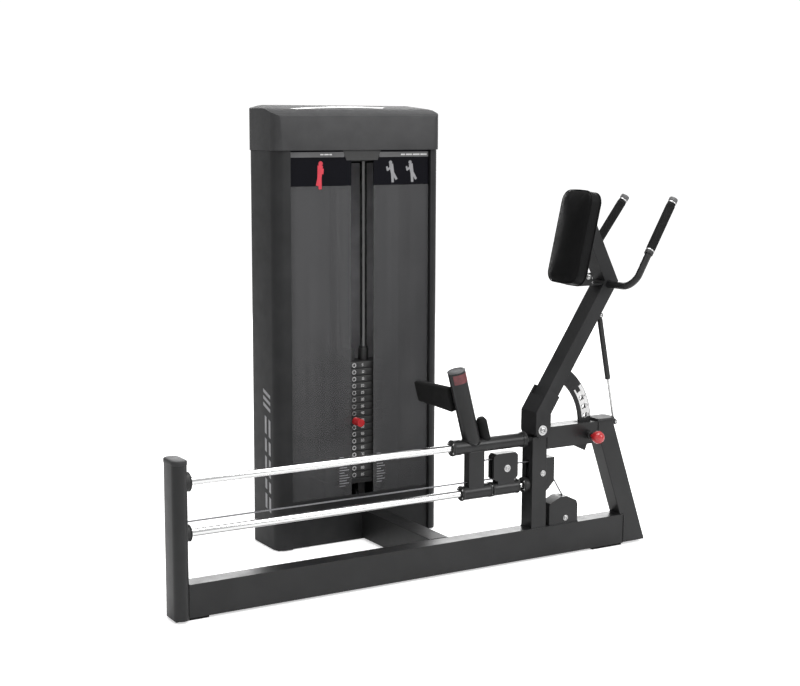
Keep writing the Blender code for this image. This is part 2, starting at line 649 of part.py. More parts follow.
# ---- pad arm ------------------------------------------------------------------------------------
def make_bracket():
    left, right = PIVOT.x + BRACKET_SHIFT - 0.031, PIVOT.x + BRACKET_SHIFT + 0.031
    side = [*arc((PIVOT.x + BRACKET_SHIFT, PIVOT.z), 0.031, 180, 360, 12), (right, 0.512),
            (1.4164, 0.566), (1.3734, 0.602), (left + 0.001, 0.521)]
    inner = ARM_HALF_Y + GAP
    plates = [outline(f"bracket_plate_{sign}", side, *sorted((sign * inner, sign * BRACKET_Y)))
              for sign in (-1, 1)]
    near, far = -ARM_HALF - GAP, -ARM_HALF - GAP - 0.0065
    inner_face = meet(Vector((left + 0.0065, 0, 0)), Z, in_arm_plane(ARM_POINT, near), ARM_DIR)
    outer_face = meet(Vector((left + 0.001, 0, 0)), Z, in_arm_plane(ARM_POINT, far), ARM_DIR)
    web = [(left + 0.001, 0.443), (left + 0.0065, 0.443), (inner_face.x, inner_face.z),
           on_arm(0.571, near), on_arm(0.575, far), (outer_face.x, outer_face.z)]
    sheet = outline("bracket_web", web, -inner - 0.002, inner + 0.002)
    hole = rod("bracket_hole", (PIVOT.x, -0.08, PIVOT.z), (PIVOT.x, 0.08, PIVOT.z), 0.0103, 16)
    join(plates[0], plates[1], sheet)
    plates[0].name = "arm_bracket"
    place(cut(plates[0], hole), "arm_paint")


def arm_outline(half, low_z, end_gap):
    """The bent arm in its swing plane: the leaning tube and the head that leans back to the pad."""
    across = Vector((ARM_DIR.z, 0, -ARM_DIR.x))
    head_across = Vector((HEAD_DIR.z, 0, -HEAD_DIR.x))
    low_along = (low_z - ARM_POINT.z) / ARM_DIR.z
    low = ARM_POINT + ARM_DIR * low_along
    corners = []
    for side in (-1, 1):
        knee = meet(ARM_POINT + across * half * side, ARM_DIR, KNEE + head_across * half * side, HEAD_DIR)
        board = PAD_LOW + PAD_BACK * (PAD_THICK + BOARD_THICK + end_gap)
        end = meet(KNEE + head_across * half * side, HEAD_DIR, board, PAD_UP)
        corners.append((low + across * half * side, knee, end))
    loop = [*corners[0], *reversed(corners[1])]
    return [(point.x, point.z) for point in loop]


def meet(first, first_dir, second, second_dir):
    """Where two lines in the XZ plane cross."""
    step = second - first
    across = first_dir.x * second_dir.z - first_dir.z * second_dir.x
    along = (step.x * second_dir.z - step.z * second_dir.x) / across
    return first + first_dir * along


def make_arm():
    arm = outline("arm_tube", arm_outline(ARM_HALF, 0.530, GAP), -ARM_HALF_Y, ARM_HALF_Y)
    hollow = outline("arm_hollow", arm_outline(ARM_HALF - WALL, 0.500, 0.006), -ARM_HALF_Y + WALL,
                     ARM_HALF_Y - WALL)
    cut(arm, hollow)
    face_x, face_z = on_arm(GAS_TOP.z - 0.004, ARM_HALF - 0.002)
    lug = [(face_x, face_z - 0.016), (GAS_TOP.x, GAS_TOP.z - 0.010),
           *arc((GAS_TOP.x, GAS_TOP.z), 0.010, -90, 90, 6), (face_x + 0.012, face_z + 0.016)]
    for sign in (-1, 1):
        low, high = sorted((sign * 0.0055, sign * 0.0100))
        join(arm, outline(f"gas_lug_{sign}", lug, low, high))
    join(arm, rod("gas_lug_pin", (GAS_TOP.x, -0.0085, GAS_TOP.z), (GAS_TOP.x, 0.0085, GAS_TOP.z), 0.004, 12))
    cut(arm, rod("bar_hole", (BAR_BASE.x, -0.1, BAR_BASE.z), (BAR_BASE.x, 0.1, BAR_BASE.z),
                 BAR_R + GAP, 20))
    place(arm, "arm_paint")


def make_quadrant():
    rim = arc((PIVOT.x, PIVOT.z), QUADRANT_OUT, -25, 56.4, 22)
    inside = arc((PIVOT.x, PIVOT.z), QUADRANT_IN, 56.4, -25, 18)
    sector = outline("quadrant", rim + inside, -0.004, 0.004)
    for step in range(5):
        turn = math.radians(PIN_ANGLE + HOLE_STEP * step)
        hole = PIVOT + Vector((math.cos(turn), 0, math.sin(turn))) * QUADRANT_R
        cut(sector, rod(f"quadrant_hole_{step}", hole - Y * 0.02, hole + Y * 0.02, HOLE_R, 12))
    place(sector, "arm_paint")


def pad_outline():
    """Half-width and height of the cushion's edge seen from the front, about its centre."""
    wide, high, r = PAD_WIDE / 2, PAD_HIGH / 2, PAD_CORNER
    rise = [(y, high - PAD_CROWN * (y / wide) ** 2) for y in (wide - r, 0.030, 0.015, 0.0, -0.015, -0.030)]
    corner = high - PAD_CROWN * ((wide - r) / wide) ** 2 - r
    top = [*arc((wide - r, corner), r, 0, 90, 6)[:-1], *rise, *arc((r - wide, corner), r, 90, 180, 6)]
    return top + [(-y, -z) for y, z in top]


def make_pad():
    centre = PAD_LOW + PAD_UP * PAD_HIGH / 2 + PAD_BACK * PAD_THICK / 2
    turn = facing(PAD_UP) @ Matrix.Rotation(-math.pi / 2, 4, "Z")

    def fill(work):
        loops = [[work.verts.new((side * PAD_THICK / 2, y, z)) for y, z in pad_outline()] for side in (-1, 1)]
        for i in range(len(loops[0])):
            work.faces.new((loops[0][i - 1], loops[0][i], loops[1][i], loops[1][i - 1]))
        work.faces.new(loops[0])
        work.faces.new(reversed(loops[1]))
        bmesh.ops.recalc_face_normals(work, faces=work.faces)

    pad = add("chest_pad", mesh_of("chest_pad", fill), centre, turn)
    place(bevel(pad, 0.012, 3), "leather")
    back = Matrix.Diagonal((BOARD_THICK - GAP, PAD_WIDE - 0.040, PAD_HIGH - 0.060, 1.0))
    mesh = mesh_of("pad_board", lambda work: bmesh.ops.create_cube(work, size=1.0, matrix=back))
    behind = PAD_LOW + PAD_UP * PAD_HIGH / 2 + PAD_BACK * (PAD_THICK + (BOARD_THICK + GAP) / 2)
    board = add("pad_board", mesh, behind, turn)
    shelf = [(1.4925, 0.9405), (1.4935, 0.9475), on_arm(0.9475, -ARM_HALF - GAP), on_arm(0.9405, -ARM_HALF - GAP)]
    corners = ((0.0, 0.0540), (0.045, 0.0540), (0.045, 0.0620), (0.0, 0.0620))
    spots = [PAD_LOW + PAD_UP * along + PAD_BACK * back for along, back in corners]
    ear = [(1.504, 0.9440), (1.556, 0.9440), (1.556, 0.985), (1.504, 0.985)]
    join(board, outline("pad_shelf", shelf, -0.030, 0.030),
         outline("pad_upright", [(spot.x, spot.z) for spot in spots], -0.029, 0.029),
         outline("pad_ear", ear, -0.031, -0.026))
    place(board, "frame_paint")


def bar_at(along, y):
    return BAR_BASE + BAR_DIR * along + Y * y


def bar_half(along):
    """Distance of the bar's upright from the middle plane."""
    lean = math.radians(TOE_IN)
    return BAR_HALF - BAR_BEND * (1 - math.cos(lean)) - math.tan(lean) * (along - BAR_BEND * (1 - math.sin(lean)))


def make_handlebar():
    """U-shaped bar through the arm's knee, with a rubber grip on each end."""
    bend = arc((-BAR_HALF + BAR_BEND, BAR_BEND), BAR_BEND, 180 + TOE_IN, 270, 7)
    near = [bar_at(along, y) for y, along in [(-bar_half(BAR_LEN), BAR_LEN), *bend]]
    far = [Vector((p.x, -p.y, p.z)) for p in reversed(near)]
    place(tube_along("handlebar", near + far, BAR_R, 3), "frame_paint")
    low, high = 0.130, BAR_LEN + 0.006
    for name, side in (("near_grip", -1), ("far_grip", 1)):
        start, end = bar_at(low, side * bar_half(low)), bar_at(high, side * bar_half(high))
        along = (end - start).normalized()
        grip = rod(name, start, end, GRIP_R, 20)
        bore = rod(f"{name}_bore", start - along * 0.02, end - along * (0.006 - GAP), BAR_R + GAP, 16)
        place(cut(grip, bore), "rubber")


def make_gas_spring():
    along = (GAS_FOOT - GAS_TOP).normalized()
    body = rod("gas_cylinder", GAS_TOP + along * 0.012, GAS_TOP + along * GAS_BODY_END, GAS_R, 20)
    eye = rod("cylinder_eye", GAS_TOP - Y * 0.0050, GAS_TOP + Y * 0.0050, 0.0090, 16)
    neck = rod("cylinder_neck", GAS_TOP + along * 0.006, GAS_TOP + along * 0.016, 0.0048, 12)
    pin_hole = rod("cylinder_pin_hole", GAS_TOP - Y * 0.02, GAS_TOP + Y * 0.02, 0.0043, 12)
    bore = rod("cylinder_bore", GAS_TOP + along * 0.0185, GAS_TOP + along * 0.25, GAS_BORE_R, 12)
    place(cut(join(body, eye, neck), pin_hole, bore), "nylon")
    piston = rod("gas_rod", GAS_TOP + along * (GAS_BODY_END - 0.034), GAS_FOOT - along * 0.004, GAS_ROD_R, 12)
    foot = rod("rod_eye", GAS_FOOT - Y * 0.0050, GAS_FOOT + Y * 0.0050, 0.0080, 16)
    place(join(piston, foot), "steel")


def make_pull_pin():
    """Drawn clear of the quadrant by a fraction of a millimetre, in its parked position."""
    pin = pin_point()
    plunger = rod("pull_pin", pin - Y * 0.0048, pin - Y * 0.070, 0.0060, 16)
    ball = bpy.data.meshes.new("knob_ball")
    work = bmesh.new()
    bmesh.ops.create_uvsphere(work, u_segments=20, v_segments=12, radius=0.0225)
    work.to_mesh(ball)
    work.free()
    join(plunger, add("knob_ball", ball, pin - Y * 0.082, facing(-Y)))
    place(plunger, "red")


# ---- weight tower -------------------------------------------------------------------------------
def make_tower_base():
    """Floor ring, bridge that the stack rests on, and the cheeks of the lower pulley."""
    ring = box("tower_base", (TOWER_X0 + 0.012, TOWER_X1 - 0.012), (0.505, 0.686), (0.0, 0.040))
    window = box("ring_window", (TOWER_X0 + 0.040, TOWER_X1 - 0.040), (0.530, 0.665), (-0.01, 0.05))
    seat_low = STACK_BASE - 0.018
    parts = [box("stack_seat", (STACK_X - 0.125, STACK_X + 0.125), (0.507, 0.618),
                 (seat_low, STACK_BASE - GAP))]
    middle, low = tower_pulley_y(), foot_pulley_z()
    for side in (-1, 1):
        leg_x = sorted((STACK_X + side * 0.105, STACK_X + side * 0.120))
        parts.append(box(f"seat_leg_{side}", leg_x, (0.507, 0.618), (0.030, seat_low + 0.002)))
        cheek_x = sorted((CABLE_X + side * 0.0100, CABLE_X + side * 0.0150))
        parts.append(box(f"foot_cheek_{side}", cheek_x, (middle - 0.02, middle + 0.02),
                         (low - 0.012, seat_low + 0.002)))
    parts.append(rod("foot_axle", (CABLE_X - 0.012, middle, low), (CABLE_X + 0.012, middle, low), AXLE_R, 12))
    place(join(cut(ring, window), *parts), "frame_paint")


def make_crossmember():
    middle = tower_pulley_y()
    bar = box("top_crossmember", (TOWER_X0 + 0.024, TOWER_X1 - 0.024), (0.520, 0.680), (1.360, 1.388))
    parts = []
    for side in (-1, 1):
        cheek_x = sorted((STACK_X + side * 0.0100, STACK_X + side * 0.0150))
        parts.append(box(f"head_cheek_{side}", cheek_x, (middle - 0.02, middle + 0.02),
                         (HEAD_PULLEY_Z - 0.012, 1.362)))
    parts.append(rod("head_axle", (STACK_X - 0.012, middle, HEAD_PULLEY_Z),
                     (STACK_X + 0.012, middle, HEAD_PULLEY_Z), AXLE_R, 12))
    place(join(bar, *parts), "frame_paint")


def cover_section(width):
    """Plan of a corner shell, for the tower's left side."""
    r, wall = TOWER_R, WALL
    outer = [(TOWER_X0 + 0.045, BACK_Y),
             *arc((TOWER_X0 + r, BACK_Y - r), r, 90, 180, 5),
             *arc((TOWER_X0 + r, TOWER_FRONT + r), r, 180, 270, 5),
             (TOWER_X0 + width, TOWER_FRONT), (TOWER_X0 + width, TOWER_FRONT + 0.018)]
    inner = [(TOWER_X0 + 0.045, BACK_Y - wall),
             *arc((TOWER_X0 + r, BACK_Y - r), r - wall, 90, 180, 5),
             *arc((TOWER_X0 + r, TOWER_FRONT + r), r - wall, 180, 270, 5),
             (TOWER_X0 + width - wall, TOWER_FRONT + wall),
             (TOWER_X0 + width - wall, TOWER_FRONT + 0.018)]
    return outer + list(reversed(inner))


def make_side_covers():
    """The tower's two rounded corner shells."""
    place(outline("left_side_cover", cover_section(LEFT_COVER), 0.004, COVER_TOP, "Z"), "cover")
    mirrored = [(TOWER_X0 + TOWER_X1 - x, y) for x, y in reversed(cover_section(RIGHT_COVER))]
    place(outline("right_side_cover", mirrored, 0.004, COVER_TOP, "Z"), "cover")


def make_back_cover():
    back = box("back_cover", (TOWER_X0 + 0.006, TOWER_X1 - 0.006), (0.6925, BACK_Y - 0.0035), (0.004, COVER_TOP))
    trim = 0.042
    corners = [box(f"back_corner_{i}", x, (0.69, 0.71), (0.0, 1.5)) for i, x in enumerate(
        ((TOWER_X0, TOWER_X0 + trim - 0.004), (TOWER_X1 - trim + 0.004, TOWER_X1)))]
    place(cut(back, *corners), "cover")


def make_top_cover():
    """Crowned cap: the top rises from the front lip towards the back."""
    x0, x1 = TOWER_X0 - 0.003, TOWER_X1 + 0.002
    y0, y1 = TOWER_FRONT - 0.006, BACK_Y
    low = COVER_TOP + GAP
    section = [(y0, low), (y1, low), (y1, 1.520), (y1 - 0.006, 1.543), (y1 - 0.022, CAP_TOP - 0.001),
               (y1 - 0.045, CAP_TOP), (y0 + 0.060, 1.538), (y0 + 0.016, 1.5245), (y0 + 0.004, 1.5185),
               (y0, 1.509)]
    cap = outline("top_cover", section, x0, x1, "X")
    plan_r = 0.034
    plan = [*arc((x1 - plan_r, y1 - plan_r), plan_r, 0, 90, 5), *arc((x0 + plan_r, y1 - plan_r), plan_r, 90, 180, 5),
            *arc((x0 + plan_r, y0 + plan_r), plan_r, 180, 270, 5),
            *arc((x1 - plan_r, y0 + plan_r), plan_r, 270, 360, 5)]
    keep = outline("cap_plan", plan, 1.3, 1.6, "Z")
    boolean(cap, keep, "INTERSECT")
    ends = [(x0 - 0.01, 1.38), (x1 + 0.01, 1.38), (x1 + 0.01, 1.5395), (x1 - 0.045, 1.5556),
            (x0 + 0.045, 1.5556), (x0 - 0.01, 1.5395)]
    boolean(cap, outline("cap_ends", ends, y0 - 0.02, y1 + 0.02), "INTERSECT")
    hollow = box("cap_hollow", (x0 + 0.012, x1 - 0.012), (y0 + 0.012, y1 - 0.012), (1.38, 1.500))
    place(cut(cap, hollow), "cover")


def make_front_panels():
    front, back = PANEL_Y, PANEL_Y + 0.004
    left_x = TOWER_X0 + LEFT_COVER + 0.002
    right_x = TOWER_X1 - RIGHT_COVER - 0.002
    shield_z = (0.170, 1.277)
    place(box("left_shield", (left_x, SLOT_X0), (front, back), shield_z), "smoked")
    place(box("right_shield", (SLOT_X1, right_x), (front, back), shield_z), "smoked")
    low, high = shield_z[1] + GAP, COVER_TOP
    header = [(left_x, low), (SLOT_X0, low), (SLOT_X0, 1.372), (SLOT_X0 - 0.026, 1.372), (SLOT_X0 - 0.026, 1.391),
              (SLOT_X1 + 0.022, 1.391), (SLOT_X1 + 0.022, 1.372), (SLOT_X1, 1.372), (SLOT_X1, low),
              (right_x, low), (right_x, high), (left_x, high)]
    place(outline("header_panel", header, front - 0.001, back), "header")
    skirt = box("skirt_panel", (left_x, right_x), (front - 0.002, back), (0.004, shield_z[0] - GAP))
    level = cable_level()
    cable_hole = box("skirt_hole", (CABLE_X - 0.009, CABLE_X + 0.009), (0.48, 0.52), (level - 0.009, level + 0.009))
    place(cut(skirt, cable_hole), "cover")


def make_stack():
    middle = (STACK_Y0 + STACK_Y1) / 2
    for name, side in (("stack_rod_left", -1), ("stack_rod_right", 1)):
        x = STACK_X + side * STACK_ROD_OFFSET
        place(rod(name, (x, middle, STACK_BASE), (x, middle, 1.360 - GAP), STACK_ROD_R, 20), "chrome")
    split = STACK_TOP - PLATE_H * PLATES_LIFTED
    for name, low, high in (("resting_plates", STACK_BASE, split - GAP), ("lifted_plates", split, STACK_TOP)):
        plates = box(name, (STACK_X - STACK_HALF, STACK_X + STACK_HALF), (STACK_Y0, STACK_Y1), (low, high))
        for side in (-1, 1) if name == "lifted_plates" else ():
            x = STACK_X + side * STACK_ROD_OFFSET
            join(plates, rod(f"bush_{side}", (x, middle, STACK_TOP - 0.002), (x, middle, BUSH_TOP), BUSH_R, 20))
        for side in (-1, 0, 1):
            x = STACK_X + side * STACK_ROD_OFFSET
            radius = STACK_ROD_R + 0.0005 if side else STEM_R + 0.0005
            cut(plates, rod(f"{name}_bore_{side}", (x, middle, low - 0.01), (x, middle, high + 0.06), radius, 16))
        if name == "lifted_plates":
            cut(plates, rod("pin_way", (STACK_X, STACK_Y0 - 0.01, SELECTOR_Z), (STACK_X, middle, SELECTOR_Z),
                            0.0045, 12))
        place(plates, "plate_iron")


STEM_R = 0.0090
YOKE_TOP = 0.694
SELECTOR_Z = STACK_TOP - PLATE_H * (PLATES_LIFTED - 0.5)


def make_selector():
    middle = (STACK_Y0 + STACK_Y1) / 2
    stem = rod("selector_stem", (STACK_X, middle, STACK_BASE + 0.004), (STACK_X, middle, STACK_TOP + 0.01),
               STEM_R, 16)
    yoke = box("selector_yoke", (STACK_X - 0.0125, STACK_X + 0.0125), (middle - 0.020, middle + 0.020),
               (STACK_TOP + GAP, YOKE_TOP))
    cross = rod("stem_cross_hole", (STACK_X, middle - 0.03, SELECTOR_Z), (STACK_X, middle + 0.004, SELECTOR_Z),
                0.0045, 12)
    place(cut(join(stem, yoke), cross), "plate_iron")
    pin = rod("selector_pin", (STACK_X, middle + 0.002, SELECTOR_Z), (STACK_X, 0.480, SELECTOR_Z), 0.0040, 12)
    knob = rod("selector_knob", (STACK_X, 0.4965, SELECTOR_Z), (STACK_X, 0.458, SELECTOR_Z), 0.0145, 20)
    place(join(pin, knob), "red")


make_rail()
make_end_post()
make_feet()
make_column()
make_pulley_guard()
make_top_beam()
make_leg()
make_beam_cap()
make_guide_rods()
make_link()
make_base_cover()
make_pulleys()
make_cables()
make_carriage()
make_foot_post()
make_foot_plate()
make_heel_stop()
make_slider()
make_bracket()
make_arm()
make_quadrant()
make_pad()
make_handlebar()
make_gas_spring()
make_pull_pin()
make_tower_base()
make_crossmember()
make_side_covers()
make_back_cover()
make_top_cover()
make_front_panels()
make_stack()
make_selector()
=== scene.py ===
"""Looks of the rear-kick machine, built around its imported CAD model.

Positions are given in the machine's datum: x from the end post's outer face, y from the main rail's
centreline towards the tower, z from the floor. at() turns them into the frame's coordinates.
"""

import math

import bmesh
import bpy
from mathutils import Matrix, Vector


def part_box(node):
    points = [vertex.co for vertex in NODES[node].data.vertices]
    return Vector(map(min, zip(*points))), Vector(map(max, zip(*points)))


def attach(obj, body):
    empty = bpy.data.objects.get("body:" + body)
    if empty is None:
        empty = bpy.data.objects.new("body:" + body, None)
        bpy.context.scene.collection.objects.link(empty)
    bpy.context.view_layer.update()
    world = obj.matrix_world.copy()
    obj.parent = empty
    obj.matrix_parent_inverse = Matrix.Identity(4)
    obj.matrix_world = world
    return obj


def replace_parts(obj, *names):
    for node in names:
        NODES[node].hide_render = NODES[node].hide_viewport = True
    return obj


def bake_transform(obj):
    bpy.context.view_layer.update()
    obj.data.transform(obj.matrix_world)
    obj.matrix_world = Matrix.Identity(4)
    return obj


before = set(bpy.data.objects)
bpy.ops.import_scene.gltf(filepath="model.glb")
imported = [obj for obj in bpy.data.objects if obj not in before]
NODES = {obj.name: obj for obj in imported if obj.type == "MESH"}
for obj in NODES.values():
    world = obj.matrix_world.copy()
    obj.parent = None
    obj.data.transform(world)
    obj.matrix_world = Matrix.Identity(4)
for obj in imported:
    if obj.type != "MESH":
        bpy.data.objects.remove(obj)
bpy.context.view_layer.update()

POST_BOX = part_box("end_post")
DATUM = Vector((POST_BOX[0].x, (POST_BOX[0].y + POST_BOX[1].y) / 2, 0.0))
X, Y, Z = Vector((1, 0, 0)), Vector((0, 1, 0)), Vector((0, 0, 1))


def at(x, y, z):
    return DATUM + Vector((x, y, z))


def add_object(name, data):
    piece = bpy.data.objects.new(name, data)
    bpy.context.scene.collection.objects.link(piece)
    return piece


# ---- camera ----
camera = add_object("camera", bpy.data.cameras.new("camera"))
camera.data.lens, camera.data.sensor_width = 66.46, 36.0
camera.data.shift_x = 0.04125
camera.location = at(-1.616, -4.025, 1.4725)
camera.rotation_euler = (math.radians(90 - 8.25), 0.0, math.radians(-29.75))
camera.data.clip_end = 100.0
bpy.context.scene.camera = camera


# ---- materials ----
def map_range(tree, value, side, low, high):
    """With side From, low..high of a value becomes 0..1; with side To, 0..1 becomes low..high."""
    node = tree.nodes.new("ShaderNodeMapRange")
    node.inputs[f"{side} Min"].default_value = low
    node.inputs[f"{side} Max"].default_value = high
    tree.links.new(value, node.inputs["Value"])
    return node.outputs["Result"]


class Finish:
    """A Principled material with helpers for its procedural inputs, in object coordinates (metres)."""

    def __init__(self, name, roughness=0.5, metallic=0.0, **sockets):
        self.material = bpy.data.materials.new(name)
        self.material.use_nodes = True
        self.tree = self.material.node_tree
        self.shader = self.tree.nodes["Principled BSDF"]
        self.shader.inputs["Roughness"].default_value = roughness
        self.shader.inputs["Metallic"].default_value = metallic
        for socket, value in sockets.items():
            self.shader.inputs[socket.replace("_", " ")].default_value = value
        self.coords = self.tree.nodes.new("ShaderNodeTexCoord").outputs["Object"]

    def link(self, source, target):
        self.tree.links.new(source, target)

    def reader(self, kind, coords=None, **inputs):
        """A node that reads the coordinates, with its inputs set."""
        node = self.tree.nodes.new(f"ShaderNode{kind}")
        for socket, value in inputs.items():
            node.inputs[socket].default_value = value
        self.link(coords or self.coords, node.inputs["Vector"])
        return node

    def stretched(self, scale):
        return self.reader("Mapping", Scale=scale).outputs["Vector"]

    def noise(self, scale, detail, coords=None):
        return self.reader("TexNoise", coords, Scale=scale, Detail=detail).outputs["Fac"]

    def cells(self, scale, feature="F1"):
        node = self.reader("TexVoronoi", Scale=scale)
        node.feature = feature
        return node.outputs["Distance"]

    def waves(self, scale, direction, distortion):
        node = self.reader("TexWave", Scale=scale, Distortion=distortion)
        node.bands_direction = direction
        return node.outputs["Fac"]

    def ramp(self, value, low, high):
        """Stretches low..high of a value to 0..1."""
        return map_range(self.tree, value, "From", low, high)

    def drive(self, socket, value, low, high):
        """Spreads 0..1 of a value over low..high of the shader's input."""
        self.link(map_range(self.tree, value, "To", low, high), self.shader.inputs[socket])

    def blend_color(self, value, first, second):
        node = self.tree.nodes.new("ShaderNodeMix")
        node.data_type = "RGBA"
        self.link(value, node.inputs["Factor"])
        for socket, color in zip((s for s in node.inputs if s.type == "RGBA"), (first, second)):
            if isinstance(color, tuple):
                socket.default_value = (*color, 1.0)
            else:
                self.link(color, socket)
        return next(s for s in node.outputs if s.type == "RGBA")

    def color(self, value, first, second):
        """The base colour, between two others."""
        self.link(self.blend_color(value, first, second), self.shader.inputs["Base Color"])

    def vary_roughness(self, value, low, high):
        self.drive("Roughness", value, low, high)

    def bump(self, height, strength, distance):
        """Adds a bump on top of those the material has."""
        node = self.tree.nodes.new("ShaderNodeBump")
        node.inputs["Strength"].default_value = strength
        node.inputs["Distance"].default_value = distance
        self.link(height, node.inputs["Height"])
        previous = self.shader.inputs["Normal"]
        if previous.is_linked:
            self.link(previous.links[0].from_socket, node.inputs["Normal"])
        self.link(node.outputs["Normal"], self.shader.inputs["Normal"])


def shades(shade, tint, *levels):
    """A tinted grey at several levels."""
    return [tuple(shade * level * c for c in tint) for level in levels]


def powder_coat(name, shade, roughness=0.42, shine=0.5):
    """Fine-textured powder coat: orange peel, a metallic fleck and a slow change of shade."""
    finish = Finish(name, roughness=roughness, metallic=0.10, Specular_IOR_Level=shine)
    dark, light, fleck = shades(shade, (1.0, 1.01, 1.05), 0.82, 1.16, 2.1)
    slow = finish.noise(9.0, 3.0)
    base = finish.blend_color(finish.ramp(slow, 0.35, 0.65), dark, light)
    speck = finish.ramp(finish.noise(2400.0, 1.0), 0.66, 0.80)
    finish.color(speck, base, fleck)
    finish.vary_roughness(finish.noise(26.0, 4.0), roughness - 0.09, roughness + 0.10)
    finish.bump(finish.noise(1300.0, 2.0), 0.16, 0.0004)
    finish.bump(finish.noise(160.0, 2.0), 0.10, 0.0006)
    return finish.material


def moulded(name, shade, roughness=0.5, grain=900.0, tint=(1.0, 1.0, 1.03), strength=0.25, shine=0.5):
    """Moulded plastic, or cast iron, with a fine eroded grain."""
    finish = Finish(name, roughness=roughness, Specular_IOR_Level=shine)
    dark, light = shades(shade, tint, 0.88, 1.12)
    finish.color(finish.ramp(finish.noise(14.0, 3.0), 0.3, 0.7), dark, light)
    finish.vary_roughness(finish.noise(60.0, 4.0), roughness - 0.06, roughness + 0.10)
    finish.bump(finish.cells(grain), strength, 0.0003)
    return finish.material


def rubber(name, shade, roughness=0.75):
    """Matt rubber with a little dust."""
    finish = Finish(name, roughness=roughness, Specular_IOR_Level=0.22)
    dust = finish.ramp(finish.noise(40.0, 5.0), 0.45, 0.75)
    finish.color(dust, (shade, shade, shade * 1.02), (shade * 1.9, shade * 1.9, shade * 1.85))
    finish.vary_roughness(finish.noise(300.0, 3.0), roughness - 0.12, roughness + 0.1)
    finish.bump(finish.noise(1500.0, 2.0), 0.35, 0.0004)
    return finish.material


def polished(name, shade, roughness, scratch, along=(1.0, 60.0, 60.0)):
    """Polished or brushed metal with fine lines along it."""
    finish = Finish(name, roughness=roughness, metallic=1.0)
    drawn = finish.stretched(along)
    lines = finish.noise(40.0, 4.0, drawn)
    finish.color(lines, (shade * 0.86,) * 3, (shade,) * 3)
    finish.vary_roughness(finish.noise(30.0, 3.0, drawn), roughness * 0.6, roughness * 1.6)
    finish.bump(lines, scratch, 0.0002)
    return finish.material


def leather(name):
    """Black upholstery vinyl: pebbled grain, soft sheen and slow wear."""
    finish = Finish(name, roughness=0.42, Specular_IOR_Level=0.12)
    wear = finish.ramp(finish.noise(11.0, 4.0), 0.42, 0.72)
    finish.color(wear, (0.0024, 0.0024, 0.0026), (0.0048, 0.0048, 0.0050))
    grain = finish.cells(520.0, "DISTANCE_TO_EDGE")
    finish.vary_roughness(finish.noise(35.0, 4.0), 0.33, 0.52)
    finish.bump(finish.ramp(grain, 0.0, 0.35), 0.45, 0.00045)
    finish.bump(finish.noise(30.0, 3.0), 0.30, 0.0015)
    return finish.material


def stranded(name):
    """Steel cable: wires laid helically round its own axis, with painted shade in the grooves between wires
    and painted highlight on their crowns.
    """
    finish = Finish(name, roughness=0.38, metallic=0.9)
    strands_and_groove_shade = finish.waves(260.0, "DIAGONAL", 0.4)
    # painted shade and highlight: the colour runs dark in the grooves between the wires and light on their
    # crowns
    finish.color(strands_and_groove_shade, (0.10, 0.10, 0.105), (0.40, 0.40, 0.42))
    finish.bump(strands_and_groove_shade, 0.8, 0.0006)
    return finish.material


def glossy(name, color, second, roughness=0.22):
    """Lacquered plastic or print, between two colours."""
    finish = Finish(name, roughness=roughness, Coat_Weight=0.5, Coat_Roughness=0.08)
    finish.color(finish.ramp(finish.noise(60.0, 3.0), 0.35, 0.7), color, second)
    finish.vary_roughness(finish.noise(120.0, 3.0), roughness * 0.8, roughness * 1.4)
    finish.bump(finish.noise(500.0, 2.0), 0.06, 0.0003)
    return finish.material


def smoked_panel(name):
    """Smoked acrylic: dark, half seen through, with the faint vertical streaks of extruded sheet."""
    finish = Finish(name, roughness=0.16, Specular_IOR_Level=0.12)
    streaks = finish.noise(7.0, 3.0, finish.stretched((9.0, 9.0, 0.15)))
    finish.color(finish.ramp(streaks, 0.30, 0.70), (0.068, 0.068, 0.070), (0.084, 0.084, 0.086))
    finish.drive("Alpha", streaks, 0.73, 0.79)
    finish.vary_roughness(finish.noise(50.0, 4.0), 0.10, 0.22)
    finish.bump(finish.noise(18.0, 2.0), 0.05, 0.001)
    return finish.material


FRAME_PAINT = powder_coat("frame_powder_coat", 0.0125, 0.33, shine=0.42)
ARM_PAINT = powder_coat("arm_powder_coat", 0.018, 0.40, shine=0.30)
DARK_PAINT = powder_coat("link_powder_coat", 0.009)
COVER = powder_coat("tower_powder_coat", 0.019, 0.46, shine=0.25)
CAP = moulded("cap_plastic", 0.036, 0.46, shine=0.25)
PLASTIC = moulded("black_plastic", 0.012, 0.45, 1200.0)
GREY_PLASTIC = moulded("grey_plastic", 0.10, 0.5, 1200.0)
# painted light: this pale grey sheet stands in for the light falling on the back wall inside the tower
PAINTED_LIGHT_SHEET = moulded("painted_light_sheet", 0.50, 0.6, 900.0)
RUBBER = rubber("black_rubber", 0.0045)
CHROME = polished("hard_chrome", 0.88, 0.07, 0.04)
# painted shade: a darkened copy of the hard chrome, standing in for the shade inside the tower on the stack
# rods
SHADED_STACK_CHROME = polished("stack_chrome_painted_shade", 0.17, 0.25, 0.04, (60.0, 60.0, 1.0))
STEEL = polished("bright_steel", 0.62, 0.25, 0.10, (8.0, 8.0, 8.0))
CABLE = stranded("wire_rope")
LEATHER = leather("black_vinyl")
RED = glossy("red_knob", (0.42, 0.014, 0.018), (0.50, 0.025, 0.028))
PLACARD = moulded("placard_black", 0.0035, 0.42, 1500.0, (1.0, 1.0, 1.6), 0.06, 0.06)
SMOKED = smoked_panel("smoked_acrylic")
IRON = moulded("plate_iron", 0.014, 0.5, 700.0, (1, 1, 1), 0.5)
WHITE = glossy("white_print", (0.62, 0.62, 0.62), (0.70, 0.70, 0.70), 0.4)
GREY = glossy("grey_print", (0.22, 0.22, 0.23), (0.27, 0.27, 0.28), 0.4)
